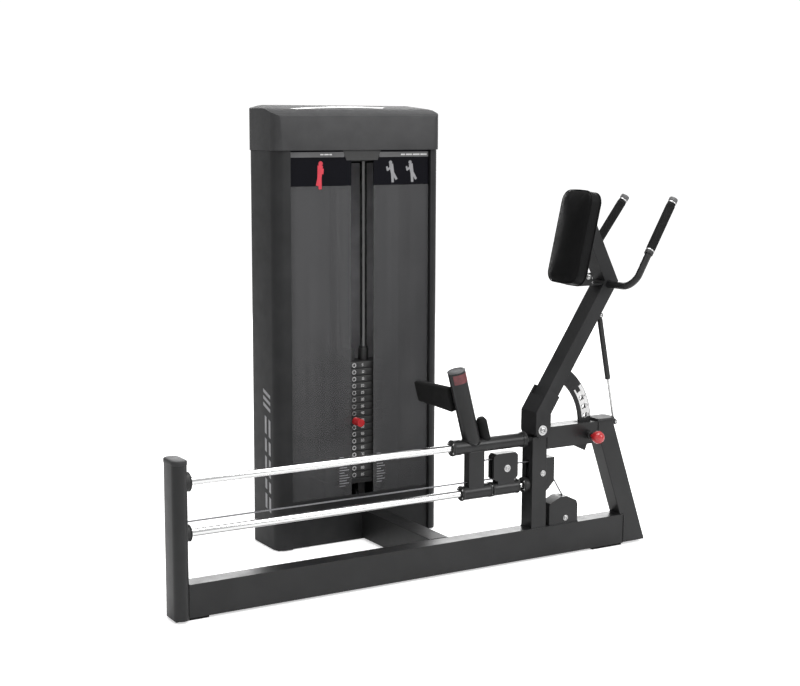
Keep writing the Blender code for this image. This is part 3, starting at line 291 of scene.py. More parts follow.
RED_PRINT = glossy("red_print", (0.50, 0.010, 0.030), (0.58, 0.018, 0.040), 0.4)
DARK_RED_PRINT = glossy("dark_red_print", (0.10, 0.012, 0.016), (0.16, 0.02, 0.025), 0.4)
BLACK_PRINT = glossy("black_print", (0.008, 0.008, 0.008), (0.012, 0.012, 0.012), 0.4)


# ---- finishes of the CAD nodes ----
def dress(node, material, round_edges):
    """Gives a CAD node its material, and rounds its edges where the real part's are rounded."""
    piece = NODES[node]
    piece.data.materials.clear()
    piece.data.materials.append(material)
    if "custom_normal" in piece.data.attributes:
        piece.data.attributes.remove(piece.data.attributes["custom_normal"])
    piece.data.shade_smooth()
    weld = piece.modifiers.new("weld", "WELD")
    weld.merge_threshold = 0.00002
    flat = piece.modifiers.new("flat_faces", "DECIMATE")
    flat.decimate_type = "DISSOLVE"
    flat.angle_limit = math.radians(0.5)
    if round_edges:
        edge = piece.modifiers.new("round_edges", "BEVEL")
        edge.width = round_edges
        edge.segments = 2
        edge.limit_method = "ANGLE"
        edge.angle_limit = math.radians(32)
        edge.harden_normals = True
    else:
        normals = piece.modifiers.new("normals", "EDGE_SPLIT")
        normals.split_angle = math.radians(35)


FINISHES = (
    (FRAME_PAINT, 0.0040, "main_rail rear_leg top_beam"),
    (FRAME_PAINT, 0.0030, "front_column end_post"),
    (FRAME_PAINT, 0.0015, "column_pulley_guard base_pulley_cover slider_housing carriage_web"),
    (FRAME_PAINT, 0.0010, "foot_post carriage_sleeve tower_base top_crossmember"),
    (DARK_PAINT, 0.0040, "link_tube"),
    (ARM_PAINT, 0.0040, "arm_tube"),
    (ARM_PAINT, 0.0020, "arm_bracket quadrant"),
    (FRAME_PAINT, 0.0010, "pad_board"),
    (COVER, 0.0010, "left_side_cover right_side_cover back_cover skirt_panel"),
    (CAP, 0.0060, "top_cover"),
    (CAP, 0.0015, "beam_end_cap"),
    (PLACARD, 0.0005, "header_panel"),
    (SMOKED, 0.0008, "left_shield right_shield"),
    (CHROME, 0.0, "upper_guide_rod lower_guide_rod"),
    # stack rods: chrome darkened as painted shade
    (SHADED_STACK_CHROME, 0.0, "stack_rod_left stack_rod_right"),
    (PLASTIC, 0.0015, "upper_rod_collar lower_rod_collar lower_rod_socket"),
    (PLASTIC, 0.0004, "press_pulley column_pulley base_pulley corner_pulley tower_foot_pulley "
                      "tower_head_pulley"),
    (RUBBER, 0.0010, "rail_foot_left rail_foot_right"),
    (RUBBER, 0.0020, "foot_plate"),
    (RUBBER, 0.0, "heel_stop"),
    (PLASTIC, 0.0006, "gas_cylinder"),
    (STEEL, 0.0, "gas_rod"),
    (IRON, 0.0010, "selector_stem"),
    (RED, 0.0, "selector_pin pull_pin"),
    (FRAME_PAINT, 0.0, "handlebar"),
    (CABLE, 0.0, "lift_cable"),
)
for finish, edge_width, names in FINISHES:
    for node_name in names.split():
        dress(node_name, finish, edge_width)


# ---- modelling helpers ----
PRINT = 0.0004   # thickness of printed marks


def piece_from(name, fill, material, body, smooth=True, sharp=40):
    """Builds a mesh with fill(bmesh), and puts it on a body unless body is None."""
    mesh = bpy.data.meshes.new(name)
    work = bmesh.new()
    fill(work)
    bmesh.ops.recalc_face_normals(work, faces=work.faces)
    work.to_mesh(mesh)
    work.free()
    piece = add_object(name, mesh)
    mesh.materials.append(material)
    if smooth:
        mesh.shade_smooth()
        mesh.set_sharp_from_angle(angle=math.radians(sharp))
    if body:
        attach(piece, body)
    return piece


def axes_of(direction):
    """Two directions across a direction."""
    turn = Vector(direction).to_track_quat("Z", "X").to_matrix()
    return turn.col[0].copy(), turn.col[1].copy()


def circle(radius, count, phase=0.0):
    return [(radius * math.cos(2 * math.pi * (i + phase) / count),
             radius * math.sin(2 * math.pi * (i + phase) / count)) for i in range(count)]


def hexagon(size, count):
    """A hexagon's outline read at count angles; size is its inner radius."""
    points = []
    for i in range(count):
        turn = 2 * math.pi * i / count
        near = (turn % (math.pi / 3)) - math.pi / 6
        radius = size / math.cos(near)
        points.append((radius * math.cos(turn), radius * math.sin(turn)))
    return points


def loft(work, rings, loop=False):
    """Skins rings of points; the ends are closed with faces, or joined to each other if loop is set."""
    rows = [[work.verts.new(p) for p in ring] for ring in rings]
    pairs = list(zip(rows, rows[1:]))
    if loop:
        pairs.append((rows[-1], rows[0]))
    for low, high in pairs:
        for i in range(len(low)):
            j = (i + 1) % len(low)
            work.faces.new((low[i], low[j], high[j], high[i]))
    if not loop:
        work.faces.new(list(reversed(rows[0])))
        work.faces.new(rows[-1])


def standing(outlines, base, axis):
    """Points of (flat outline, height) pairs on an axis."""
    u, v = axes_of(axis)
    axis = Vector(axis).normalized()
    return [[base + axis * h + u * a + v * b for a, b in outline] for outline, h in outlines]


def turned(work, profile, base, axis, count):
    """A solid of revolution; the profile is (radius, height) from one end to the other."""
    loft(work, standing([(circle(max(r, 0.00005), count), h) for r, h in profile], base, axis))


def ring_solid(work, profile, base, axis, count):
    """A ring of revolution from a closed (radius, height) profile."""
    loft(work, standing([(circle(r, count), h) for r, h in profile], base, axis), loop=True)


def socket_bolt(work, base, axis, radius, high, washer=0.0):
    """Button-head bolt with a hexagon socket, on a washer if that has a radius."""
    count = 24
    if washer:
        inner = washer - 0.0004
        turned(work, [(inner, 0.0), (washer, 0.0004), (washer, 0.0012), (inner, 0.0016)], base, axis, 32)
        base = base + Vector(axis).normalized() * 0.0015
    dome = ((1.0, 0.0), (1.0, 0.30), (0.94, 0.62), (0.80, 0.88), (0.62, 1.0))
    well = ((0.46, 1.0), (0.43, 0.35))
    outlines = [(circle(radius * r, count), high * h) for r, h in dome]
    outlines += [(hexagon(radius * r, count), high * h) for r, h in well]
    loft(work, standing(outlines, base, axis))


def bolts(name, places, body, material=STEEL):
    """Bolts from (point, axis, radius, height, washer radius)."""
    def fill(work):
        for point, axis, radius, high, washer in places:
            socket_bolt(work, point, axis, radius, high, washer)
    piece_from(name, fill, material, body)


def follow(points):
    """Frames along a path, turned as little as possible from point to point."""
    points = [Vector(p) for p in points]
    steps = [(b - a).normalized() for a, b in zip(points, points[1:])]
    tangents = [steps[0], *((a + b).normalized() for a, b in zip(steps, steps[1:])), steps[-1]]
    side, _ = axes_of(tangents[0])
    frames = []
    for point, tangent in zip(points, tangents):
        side = (side - tangent * side.dot(tangent)).normalized()
        frames.append((point, tangent, side, tangent.cross(side)))
    return frames


def tube(work, points, radius, count=12):
    """A round tube; radius is a number or a function of the share of the way along."""
    frames = follow(points)
    rings = []
    for i, (point, _, side, up) in enumerate(frames):
        r = radius(i / (len(frames) - 1)) if callable(radius) else radius
        rings.append([point + side * a + up * b for a, b in circle(r, count)])
    loft(work, rings)


def weld_bead(work, points, size=0.0026):
    """A stacked weld bead along a polyline; a ripple is three steps long."""
    step = 0.0032 / 3
    points = [Vector(p) for p in points]
    fine = []
    for a, b in zip(points, points[1:]):
        count = max(2, int((b - a).length / step))
        fine += [a.lerp(b, i / count) for i in range(count)]
    fine.append(points[-1])
    total = len(fine) - 1

    def radius(share):
        ends = min(1.0, share * total / 4 + 0.35, (1 - share) * total / 4 + 0.35)
        return size * ends * (0.80 + 0.20 * abs(math.sin(math.pi * share * total / 3)))
    tube(work, fine, radius, 8)


def plate(work, corners, normal, thick):
    """A flat sheet on a polygon of points, thick along its normal."""
    normal = Vector(normal).normalized()
    loft(work, [list(corners), [Vector(c) + normal * thick for c in corners]])


def marks(name, fill, material):
    """Flat trim on the frame."""
    piece_from(name, fill, material, "frame", smooth=False)


def rect(work, x0, x1, z0, z1, y, lift=PRINT):
    """A thin upright rectangle, raised towards the photograph's camera."""
    plate(work, [at(x0, y, z0), at(x1, y, z0), at(x1, y, z1), at(x0, y, z1)], -Y, lift)


def block(work, centre, size, rounding):
    """A box with rounded edges."""
    matrix = Matrix.Translation(centre) @ Matrix.Diagonal((*size, 1.0))
    made = bmesh.ops.create_cube(work, size=1.0, matrix=matrix)
    edges = list({e for v in made["verts"] for e in v.link_edges})
    bmesh.ops.bevel(work, geom=edges, offset=rounding, segments=2, profile=0.5, affect="EDGES")


def arc2(cx, cy, radius, start, end, steps):
    """Points of a flat arc, from start to end in degrees."""
    turns = [math.radians(start + (end - start) * i / steps) for i in range(steps + 1)]
    return [(cx + radius * math.cos(t), cy + radius * math.sin(t)) for t in turns]


# ---- main dimensions shared with the frame ----
def mid(node):
    low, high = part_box(node)
    return (low + high) / 2


PIVOT = at(1.347, 0.0, 0.458)
PRESS_AXLE, COLUMN_AXLE, BASE_AXLE = mid("press_pulley"), mid("column_pulley"), mid("base_pulley")
ROD_UP, ROD_LOW = mid("upper_guide_rod").z, mid("lower_guide_rod").z
POST_DIR = Vector((-0.255, 0.0, 0.967)).normalized()
ARM_DIR = Vector((0.546, 0.0, 0.838)).normalized()
PAD_UP = Vector((0.220, 0.0, 0.9755)).normalized()
PAD_BACK = Vector((0.9755, 0.0, -0.220)).normalized()
PAD_LOW = at(1.4385, 0.0, 0.9546)
BAR_BASE = at(1.628, 0.0, 0.942)
BAR_DIR = Vector((0.558, 0.0, 0.830)).normalized()
BAR_FOOT_HALF, TOE_IN = 0.15994, math.radians(5.2)   # half the width between the uprights' feet
GAS_TOP, GAS_FOOT = at(1.615, 0.0, 0.831), at(1.690, 0.0, 0.447)
PIN = at(1.5564, 0.0, 0.4188)   # the pull pin's axis
STACK_X, STACK_HALF, STACK_ROD_OFFSET = 0.922, 0.118, 0.060
STACK_Y0, STACK_Y1 = 0.508, 0.588
STACK_BASE, STACK_SPLIT, STACK_TOP, PLATE_PITCH = 0.226, 0.426, 0.651, 0.025
FOOT_POINT = at(1.056, 0.0, 0.558)
HOLE_TURNS = [-10.6 + 8.8 * k for k in range(5)]   # the quadrant's holes, in degrees at rest
HOLE_REACH, QUADRANT_FACE = 0.213, 0.0040
CABLE_R, PRESS_R, COLUMN_R = 0.0025, 0.034, 0.040


# ---- cables ----
def straight(a, b, count):
    return [Vector(a).lerp(Vector(b), i / count) for i in range(count + 1)]


def cable_piece(name, points):
    piece = piece_from(name, lambda work: tube(work, points, CABLE_R, 10), CABLE, None)
    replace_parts(piece, name)
    piece.name = f"{name}_rope"
    return piece


def make_cables():
    low, high = PRESS_AXLE.z - PRESS_R, PRESS_AXLE.z + PRESS_R
    y = DATUM.y
    wrap = [Vector((u, y, v)) for u, v in arc2(PRESS_AXLE.x, PRESS_AXLE.z, PRESS_R, -90, 90, 18)]
    start = at(0.0503, 0, low)
    lower = cable_piece("press_cable_lower", straight(start, wrap[0], 60)[:-1] + wrap)
    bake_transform(lower)
    web, top = at(1.1293, 0, high), Vector((PRESS_AXLE.x - 0.0009, y, high))
    upper = cable_piece("press_cable_upper", straight(web, top, 12))
    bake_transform(upper)
    drive_low = at(1.2663, 0, COLUMN_AXLE.z + COLUMN_R)
    drive_high = COLUMN_AXLE + Z * COLUMN_R - X * 0.0003
    drive = cable_piece("drive_cable", straight(drive_low, drive_high, 12))
    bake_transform(drive)
    bottom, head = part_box("stack_cable")
    middle = (bottom + head) / 2
    low_end, high_end = Vector((middle.x, middle.y, bottom.z)), Vector((middle.x, middle.y, head.z))
    stack = cable_piece("stack_cable", straight(low_end, high_end, 60))
    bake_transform(stack)


make_cables()


# ---- chest pad ----
PAD_HIGH, PAD_HALF, PAD_THICK, PAD_CORNER, PAD_CROWN = 0.322, 0.082, 0.052, 0.035, 0.005
FRONT_SEAM, BACK_SEAM = 0.007, 0.045


def pad_outline(inset):
    """The cushion's edge from the front, moved in by inset, with rounded corners and bulging ends."""
    wide, high = PAD_HALF - inset, PAD_HIGH / 2 - inset
    r = max(PAD_CORNER - inset, 0.008)
    side = high - r
    points = [(wide, -side + 2 * side * i / 12) for i in range(12)]
    points += arc2(wide - r, high - r, r, 0, 90, 7)
    points += [(wide - r - 2 * (wide - r) * i / 8, high) for i in range(1, 8)]
    points += arc2(-wide + r, high - r, r, 90, 180, 7)
    points += [(-wide, side - 2 * side * i / 12) for i in range(1, 12)]
    points += arc2(-wide + r, -high + r, r, 180, 270, 7)
    points += [(-wide + r + 2 * (wide - r) * i / 8, -high) for i in range(1, 8)]
    points += arc2(wide - r, -high + r, r, 270, 360, 7)[:-1]

    def crowned(y, z):
        share = (y / wide) ** 2 if abs(z) > side else abs(z) / side
        return y, z - math.copysign(PAD_CROWN, z) * share
    return [crowned(y, z) for y, z in points]


def on_pad(y, z, depth):
    return PAD_LOW + PAD_UP * (PAD_HIGH / 2 + z) + Y * y + PAD_BACK * depth


def pad_shape(work):
    """The cushion as a closed loft through its thickness, before it is filled."""
    levels = ((PAD_THICK, 0.006), (0.050, 0.002), (0.046, 0.0010), (BACK_SEAM, 0.0014),
              (0.040, 0.0004), (0.026, -0.0006), (0.012, 0.0004), (FRONT_SEAM, 0.0018),
              (0.0040, 0.0040), (0.0015, 0.0090), (-0.0005, 0.0170), (-0.0022, 0.0290),
              (-0.0032, 0.0430), (-0.0038, 0.0600), (-0.0040, 0.0720))   # depth, inset
    loft(work, [[on_pad(y, z, depth) for y, z in pad_outline(inset)] for depth, inset in levels])


def inflate(piece, most):
    """Fills a cushion with cloth pressure, and keeps every point within most of where it began."""
    remesh = piece.modifiers.new("remesh", "REMESH")
    remesh.mode = "VOXEL"
    remesh.voxel_size = 0.0055
    applied(piece)
    rest = [v.co.copy() for v in piece.data.vertices]
    group = piece.vertex_groups.new(name="held")
    held = [v.index for v in piece.data.vertices
            if (v.co - PAD_LOW).dot(PAD_BACK) > BACK_SEAM - 0.002
            or abs((v.co - PAD_LOW).dot(PAD_BACK) - FRONT_SEAM) < 0.003]
    group.add(held, 1.0, "REPLACE")
    cloth = piece.modifiers.new("cloth", "CLOTH")
    for setting, value in (("quality", 5), ("mass", 0.3), ("tension_stiffness", 30),
                           ("compression_stiffness", 30), ("shear_stiffness", 12), ("bending_stiffness", 2.0),
                           ("use_pressure", True), ("uniform_pressure_force", 4.0),
                           ("vertex_group_mass", "held")):
        setattr(cloth.settings, setting, value)
    cloth.settings.effector_weights.gravity = 0.0
    cloth.collision_settings.use_collision = False
    scene = bpy.context.scene
    for step in range(1, 21):
        scene.frame_set(step)
    evaluated = piece.evaluated_get(bpy.context.evaluated_depsgraph_get())
    moved = [v.co.copy() for v in evaluated.data.vertices]
    piece.modifiers.remove(cloth)
    scene.frame_set(1)
    for vertex, was, now in zip(piece.data.vertices, rest, moved):
        step = now - was
        if step.length > most:
            step *= most / step.length
        vertex.co = was + step
    piece.vertex_groups.clear()


def applied(piece):
    """Bakes a piece's modifiers into its mesh."""
    evaluated = piece.evaluated_get(bpy.context.evaluated_depsgraph_get())
    mesh = bpy.data.meshes.new_from_object(evaluated)
    piece.modifiers.clear()
    piece.data = mesh


def make_chest_pad():
    pad = piece_from("chest_cushion", pad_shape, LEATHER, None)
    bpy.context.view_layer.update()
    inflate(pad, 0.005)
    subdivision = pad.modifiers.new("smooth", "SUBSURF")
    subdivision.levels = subdivision.render_levels = 1
    applied(pad)
    pad.data.materials.clear()
    pad.data.materials.append(LEATHER)
    pad.data.shade_smooth()
    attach(pad, "pad_arm")
    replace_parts(pad, "chest_pad")

    def seam_loops(work):
        for depth, inset in ((FRONT_SEAM, 0.0004), (BACK_SEAM, 0.0002)):
            loop = [on_pad(y, z, depth) for y, z in pad_outline(inset)]
            tube(work, loop + [loop[0]], 0.0019, 8)
    piece_from("pad_piping", seam_loops, LEATHER, "pad_arm")


make_chest_pad()


# ---- handlebar grips ----
def make_grips():
    """Ribbed sleeves with steel rings, a collar below and a cap on the end; heights are along the bar."""
    start, end, pitch = 0.1505, 0.3310, 0.0042
    for node, side in (("near_grip", -1), ("far_grip", 1)):
        base = BAR_BASE + Y * (side * BAR_FOOT_HALF)
        along = (BAR_DIR - Y * (side * math.tan(TOE_IN))).normalized()
        profile = [(0.0129, start - 0.002), (0.0148, start - 0.001)]
        for i in range(int((end - start) / pitch)):
            h = start + pitch * i
            profile += [(r, h + pitch * share) for r, share in
                        ((0.0150, 0.0), (0.0160, 0.30), (0.0160, 0.62), (0.0150, 0.9))]
        profile += [(0.0148, end + 0.001), (0.0129, end + 0.002)]
        grip = piece_from(f"{node}_sleeve", lambda work: turned(work, profile, base, along, 36),
                          RUBBER, "pad_arm", sharp=60)
        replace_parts(grip, node)

        rim = ((0.0128, 0.0), (0.0158, 0.0004), (0.0165, 0.0015),
               (0.0165, 0.0042), (0.0158, 0.0052), (0.0128, 0.0056))
        collar = ((0.0128, 0.1305), (0.0150, 0.1310), (0.0155, 0.1325),
                  (0.0155, 0.1408), (0.0150, 0.1420), (0.0128, 0.1424))
        end_cap = ((0.0130, 0.3400), (0.0152, 0.3404), (0.0158, 0.3420), (0.0156, 0.3520),
                   (0.0144, 0.3548), (0.0112, 0.3562), (0.0, 0.3565))
        rings = [[(r, low + h) for r, h in rim] for low in (0.1428, 0.3340)]
        for part, shapes, material, slot in (("rings", rings, STEEL, "steel"),
                                             ("collars", [collar], PLASTIC, "nylon"),
                                             ("cap", [end_cap], GREY_PLASTIC, "cap")):
            def fill(work):
                for shape in shapes:
                    turned(work, shape, base, along, 36)
            piece_from(f"{node}_{part}", fill, material, "pad_arm")


make_grips()


# ---- weight stack ----
def plate_stack(name, low, high, count, body):
    """Separate cast plates with rounded edges, each with a steel bush round its pin hole, whose dark inside
    is a black disc of painted shade.
    """
    pitch = (high - low) / count
    levels = [low + pitch * (i + 0.5) for i in range(count)]
    size = (2 * STACK_HALF - 0.0004, 0.0796, pitch - 0.0012)

    def fill(work):
        for z in levels:
            block(work, at(STACK_X, (STACK_Y0 + STACK_Y1) / 2, z), size, 0.0022)
    stack = piece_from(name, fill, IRON, body)

    def bushes(work):
        for z in levels:
            ring_solid(work, [(0.0052, 0.0), (0.0082, 0.0), (0.0082, 0.0009), (0.0052, 0.0009)],
                       at(STACK_X, STACK_Y0 + 0.0002, z), -Y, 20)
    piece_from(f"{name}_bushes", bushes, STEEL, body)

    # painted shade: flat black discs stand in for the dark inside of the pin holes
    def bores(work):
        for z in levels:
            turned(work, [(0.0050, 0.0), (0.0050, 0.0005)], at(STACK_X, STACK_Y0 + 0.0001, z), -Y, 16)
    piece_from(f"{name}_bores", bores, BLACK_PRINT, body)
    return stack


def digits(work, text, corner, right, up, size, lift):
    """Seven-segment style numerals as thin raised strokes."""
    strokes = ("abcdef", "bc", "abged", "abgcd", "fgbc", "afgcd", "afgedc", "abc", "abcdefg", "abcdfg")
    spans = {"a": ((0, 2), (1, 2)), "b": ((1, 2), (1, 1)), "c": ((1, 1), (1, 0)), "d": ((0, 0), (1, 0)),
             "e": ((0, 1), (0, 0)), "f": ((0, 2), (0, 1)), "g": ((0, 1), (1, 1))}
    normal = right.cross(up).normalized()
    width = size * 0.5
    half = size * 0.09
    for i, figure in enumerate(text):
        left = corner + right * (i * width * 1.7)
        for stroke in strokes[int(figure)]:
            (ax, ay), (bx, by) = spans[stroke]
            a = left + right * (ax * width) + up * (ay * size / 2)
            b = left + right * (bx * width) + up * (by * size / 2)
            along = (b - a).normalized()
            across = normal.cross(along) * half
            a, b = a - along * half, b + along * half
            plate(work, [a - across, b - across, b + across, a + across], normal, lift)


def make_stack():
    """Plates, their weight labels, the lifting cable's end and the bushings that run on the rods."""
    low, split, top = STACK_BASE, STACK_SPLIT, STACK_TOP
    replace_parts(plate_stack("stack_plates_low", low, split - 0.0003, 8, "frame"), "resting_plates")
    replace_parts(plate_stack("stack_plates_high", split, top, 9, "lifted_stack"), "lifted_plates")
    for name, base, count, first, body in (("low_labels", low, 8, 10, "frame"),
                                           ("high_labels", split, 9, 1, "lifted_stack")):
        levels = [base + PLATE_PITCH * (i + 0.5) for i in range(count)]

        def tags(work):
            for z in levels:
                rect(work, STACK_X + 0.018, STACK_X + 0.050, z - 0.0085, z + 0.0085, STACK_Y0 + 0.0001)
        piece_from(f"stack_{name}", tags, BLACK_PRINT, body, smooth=False)

        def figures(work):
            for i, z in enumerate(levels):
                text = str((first + count - 1 - i) * 5)
                left = STACK_X + (0.029 if len(text) > 1 else 0.032)
                digits(work, text, at(left, STACK_Y0 - 0.0003, z - 0.004), X, Z, 0.008, 0.0003)
        piece_from(f"stack_{name}_figures", figures, WHITE, body, smooth=False)

    def hardware(work):
        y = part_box("stack_cable")[0].y + CABLE_R - DATUM.y
        ferrule = [(0.0050, -0.012), (0.0056, -0.011), (0.0056, 0.014), (0.0036, 0.022), (0.0032, 0.030)]
        turned(work, ferrule, at(STACK_X, y, 0.7055), Z, 20)
        turned(work, [(0.0095, 0.0), (0.0095, 0.006), (0.0085, 0.0068)], at(STACK_X, y, 0.694), Z, 6)
    piece_from("stack_cable_end", hardware, STEEL, "lifted_stack")

    def bushings(work):
        profile = [(0.0131, 0.0), (0.0185, 0.0), (0.0185, 0.040), (0.0178, 0.0415),
                   (0.0160, 0.0425), (0.0160, 0.048), (0.0152, 0.049), (0.0131, 0.049)]
        for side in (-1, 1):
            base = at(STACK_X + side * STACK_ROD_OFFSET, (STACK_Y0 + STACK_Y1) / 2, STACK_TOP)
            ring_solid(work, profile, base, Z, 32)
    piece_from("stack_bushings", bushings, PLASTIC, "lifted_stack")


make_stack()


# ---- bolts and small hardware ----
def both_sides(centre, reach, *sizes):
    """A shaft's two bolts, reach from its centre; sizes are radius, height and washer radius."""
    return [(centre + Y * side * reach, Y * side, *sizes) for side in (-1, 1)]


def make_hardware():
    bolts("arm_pivot_bolts", both_sides(PIVOT, 0.0442, 0.0112, 0.0080, 0.0175), "frame")
    column = both_sides(COLUMN_AXLE, 0.030, 0.0075, 0.0045, 0.0105)
    base = both_sides(BASE_AXLE, 0.025, 0.0070, 0.0045, 0.0100)
    bolts("frame_axle_bolts", column + base, "frame")
    bolts("slider_axle_bolts", both_sides(PRESS_AXLE, 0.017, 0.0080, 0.0050, 0.0125), "pulley_slider")
    bolts("gas_lug_bolts", both_sides(GAS_TOP, 0.0100, 0.0065, 0.0040, 0.0), "pad_arm")
    bolts("gas_fork_bolts", both_sides(GAS_FOOT, 0.0115, 0.0060, 0.0040, 0.0), "frame")
    bolts("pad_ear_bolt", [(at(1.540, -0.0310, 0.972), -Y, 0.0072, 0.0050, 0.0100)], "pad_arm")


make_hardware()


def flange(name, x, z, axis, body, radius, thick):
    """Bearing flange at a sleeve's end, with its ring of small screws."""
    base = at(x, 0.0, z)

    def ring(work):
        profile = [(0.0134, 0.0), (radius - 0.0008, 0.0), (radius, 0.0010), (radius, thick - 0.0014),
                   (radius - 0.0016, thick), (0.0150, thick), (0.0134, thick - 0.0012)]
        ring_solid(work, profile, base, axis, 40)
    piece_from(name, ring, PLASTIC, body)
    u, v = axes_of(axis)
    points = [(base + Vector(axis) * thick + u * a + v * b, Vector(axis), 0.0032, 0.0022, 0.0)
              for a, b in circle(radius * 0.77, 4, 0.5)]
    bolts(f"{name}_screws", points, body)


def make_flanges():
    sleeve_low, sleeve_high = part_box("carriage_sleeve")
    sleeve_left, sleeve_right = sleeve_low.x - DATUM.x - 0.0005, sleeve_high.x - DATUM.x + 0.0003
    for row in (
            ("sleeve_flange_left", sleeve_left, ROD_UP, -X, "foot_carriage", 0.0275, 0.006),
            ("sleeve_flange_right", sleeve_right, ROD_UP, X, "foot_carriage", 0.0275, 0.005),
            ("web_flange_left", 1.0497, ROD_LOW, -X, "foot_carriage", 0.0255, 0.006),
            ("web_flange_right", 1.1543, ROD_LOW, X, "foot_carriage", 0.0255, 0.006),
            ("slider_flange_left", 1.1707, ROD_LOW, -X, "pulley_slider", 0.0255, 0.006),
            ("slider_flange_right", 1.2683, ROD_LOW, X, "pulley_slider", 0.0255, 0.006),
            ("post_flange_upper", 0.0636, ROD_UP, X, "frame", 0.0300, 0.004),
            ("post_flange_lower", 0.0636, ROD_LOW, X, "frame", 0.0262, 0.004),
            ("column_flange_lower", 1.3001, ROD_LOW, -X, "frame", 0.0262, 0.005)):
        flange(*row)


make_flanges()


def make_post_caps():
    """Plastic cap on the end post, and the foot post's plug and label."""
    radius = straight_half = 0.025
    top = POST_BOX[1].z

    def oval(grow):
        r = radius + grow
        return arc2(radius, straight_half, r, 0, 180, 14) + arc2(radius, -straight_half, r, 180, 360, 14)

    def cap(work):
        rings = []
        for grow, height in ((0.0004, -0.0090), (0.0012, -0.0084), (0.0012, 0.0006), (0.0002, 0.0026),
                             (-0.0030, 0.0040), (-0.0120, 0.0046)):
            rings.append([at(x, y, top + height) for x, y in oval(grow)])
        loft(work, rings)
    piece_from("end_post_cap", cap, CAP, "frame", sharp=60)

    tip = FOOT_POINT + POST_DIR * 0.129

    def plug(work):
        profile = [(0.0300, -0.0020), (0.0309, -0.0012), (0.0309, 0.0010), (0.0298, 0.0026),
                   (0.0262, 0.0036), (0.0228, 0.0038), (0.0222, 0.0020), (0.0, 0.0016)]
        turned(work, profile, tip, POST_DIR, 40)
    piece_from("foot_post_plug", plug, GREY_PLASTIC, "foot_carriage", sharp=50)

    def sticker(work):
        across = POST_DIR.cross(Y)
        rings = []
        for height in (-0.040, -0.020, -0.008):
            inner, outer = [], []
            for i in range(13):
                turn = math.radians(-150 + i * 10)
                spot = Y * math.sin(turn) + across * math.cos(turn)
                inner.append(tip + POST_DIR * height + spot * 0.0301)
                outer.append(tip + POST_DIR * height + spot * 0.0305)
            rings.append(inner + list(reversed(outer)))
        loft(work, rings)
    piece_from("foot_post_label", sticker, DARK_RED_PRINT, "foot_carriage", sharp=60)


make_post_caps()


def make_welds():
    column_x0, column_x1 = 1.317, 1.377
    rail_top, half = 0.1135, 0.0305

    def frame_welds(work):
        weld_bead(work, [at(x, y, rail_top) for x, y in
                         ((column_x0, -half), (column_x1, -half), (column_x1, half), (column_x0, half),
                          (column_x0, -half))])
        weld_bead(work, [at(0.0515, -0.028, 0.012), at(0.0515, -0.030, 0.112), at(0.0515, 0.030, 0.112),
                         at(0.0515, 0.028, 0.012)])
        for y in (-half, half):
            weld_bead(work, [at(1.5985, y, 0.389), at(1.5985, y, 0.461)])
            weld_bead(work, [at(1.3778, y, 0.389), at(1.3778, y, 0.432)])
            weld_bead(work, [at(1.7215, y, 0.014), at(1.7215, y, 0.113), at(1.706, y, 0.1135)])
        weld_bead(work, [at(1.706, -half, 0.1137), at(1.706, half, 0.1137)])
        weld_bead(work, [at(1.396, -0.0255, 0.114), at(1.518, -0.0255, 0.114), at(1.518, 0.0255, 0.114),
                         at(1.396, 0.0255, 0.114), at(1.396, -0.0255, 0.114)], 0.0020)
        for x in (0.946, 1.018):
            weld_bead(work, [at(x, 0.0310, 0.012), at(x, 0.0310, 0.112)])
        weld_bead(work, [at(0.946, 0.0310, 0.112), at(1.018, 0.0310, 0.112)])
    piece_from("frame_welds", frame_welds, FRAME_PAINT, "frame")

    def carriage_welds(work):
        foot = FOOT_POINT - POST_DIR * 0.111
        across = POST_DIR.cross(Y)
        loop = []
        for i in range(49):
            turn = 2 * math.pi * i / 48
            spot = foot + Y * (math.sin(turn) * 0.0302) + across * (math.cos(turn) * 0.0302)
            rise = math.sqrt(0.0246 ** 2 - (math.sin(turn) * 0.0240) ** 2)   # of the round sleeve
            loop.append(spot + POST_DIR * ((ROD_UP + rise - spot.z) / POST_DIR.z))
        weld_bead(work, loop, 0.0022)
        for y in (-0.0165, 0.0165):
            weld_bead(work, [at(1.070, y, ROD_UP - 0.0183), at(1.127, y, ROD_UP - 0.0183)], 0.0020)
    piece_from("carriage_welds", carriage_welds, FRAME_PAINT, "foot_carriage")

    def arm_welds(work):
        u = Vector((ARM_DIR.z, 0, -ARM_DIR.x))   # across the arm, to its underside
        for y in (-0.0350, 0.0350):
            weld_bead(work, [at(1.3814, y, 0.512), at(1.4164, y, 0.566), at(1.3734, y, 0.602)], 0.0018)
        under = at(1.5578, 0, 0.828) - ARM_DIR * 0.224 + u * 0.0251
        weld_bead(work, [under + Y * -0.0045, under + Y * 0.0045], 0.0018)
    piece_from("arm_welds", arm_welds, ARM_PAINT, "pad_arm")


make_welds()


# ---- quadrant label and pull pin ----
def sector(work, inner, outer, start, end, steps):
    """Part of a flat ring about the arm's pivot, on the quadrant's near face."""
    ring = arc2(0, 0, outer, start, end, steps) + arc2(0, 0, inner, end, start, steps)
    plate(work, [PIVOT + X * a + Z * b - Y * QUADRANT_FACE for a, b in ring], -Y, PRINT)


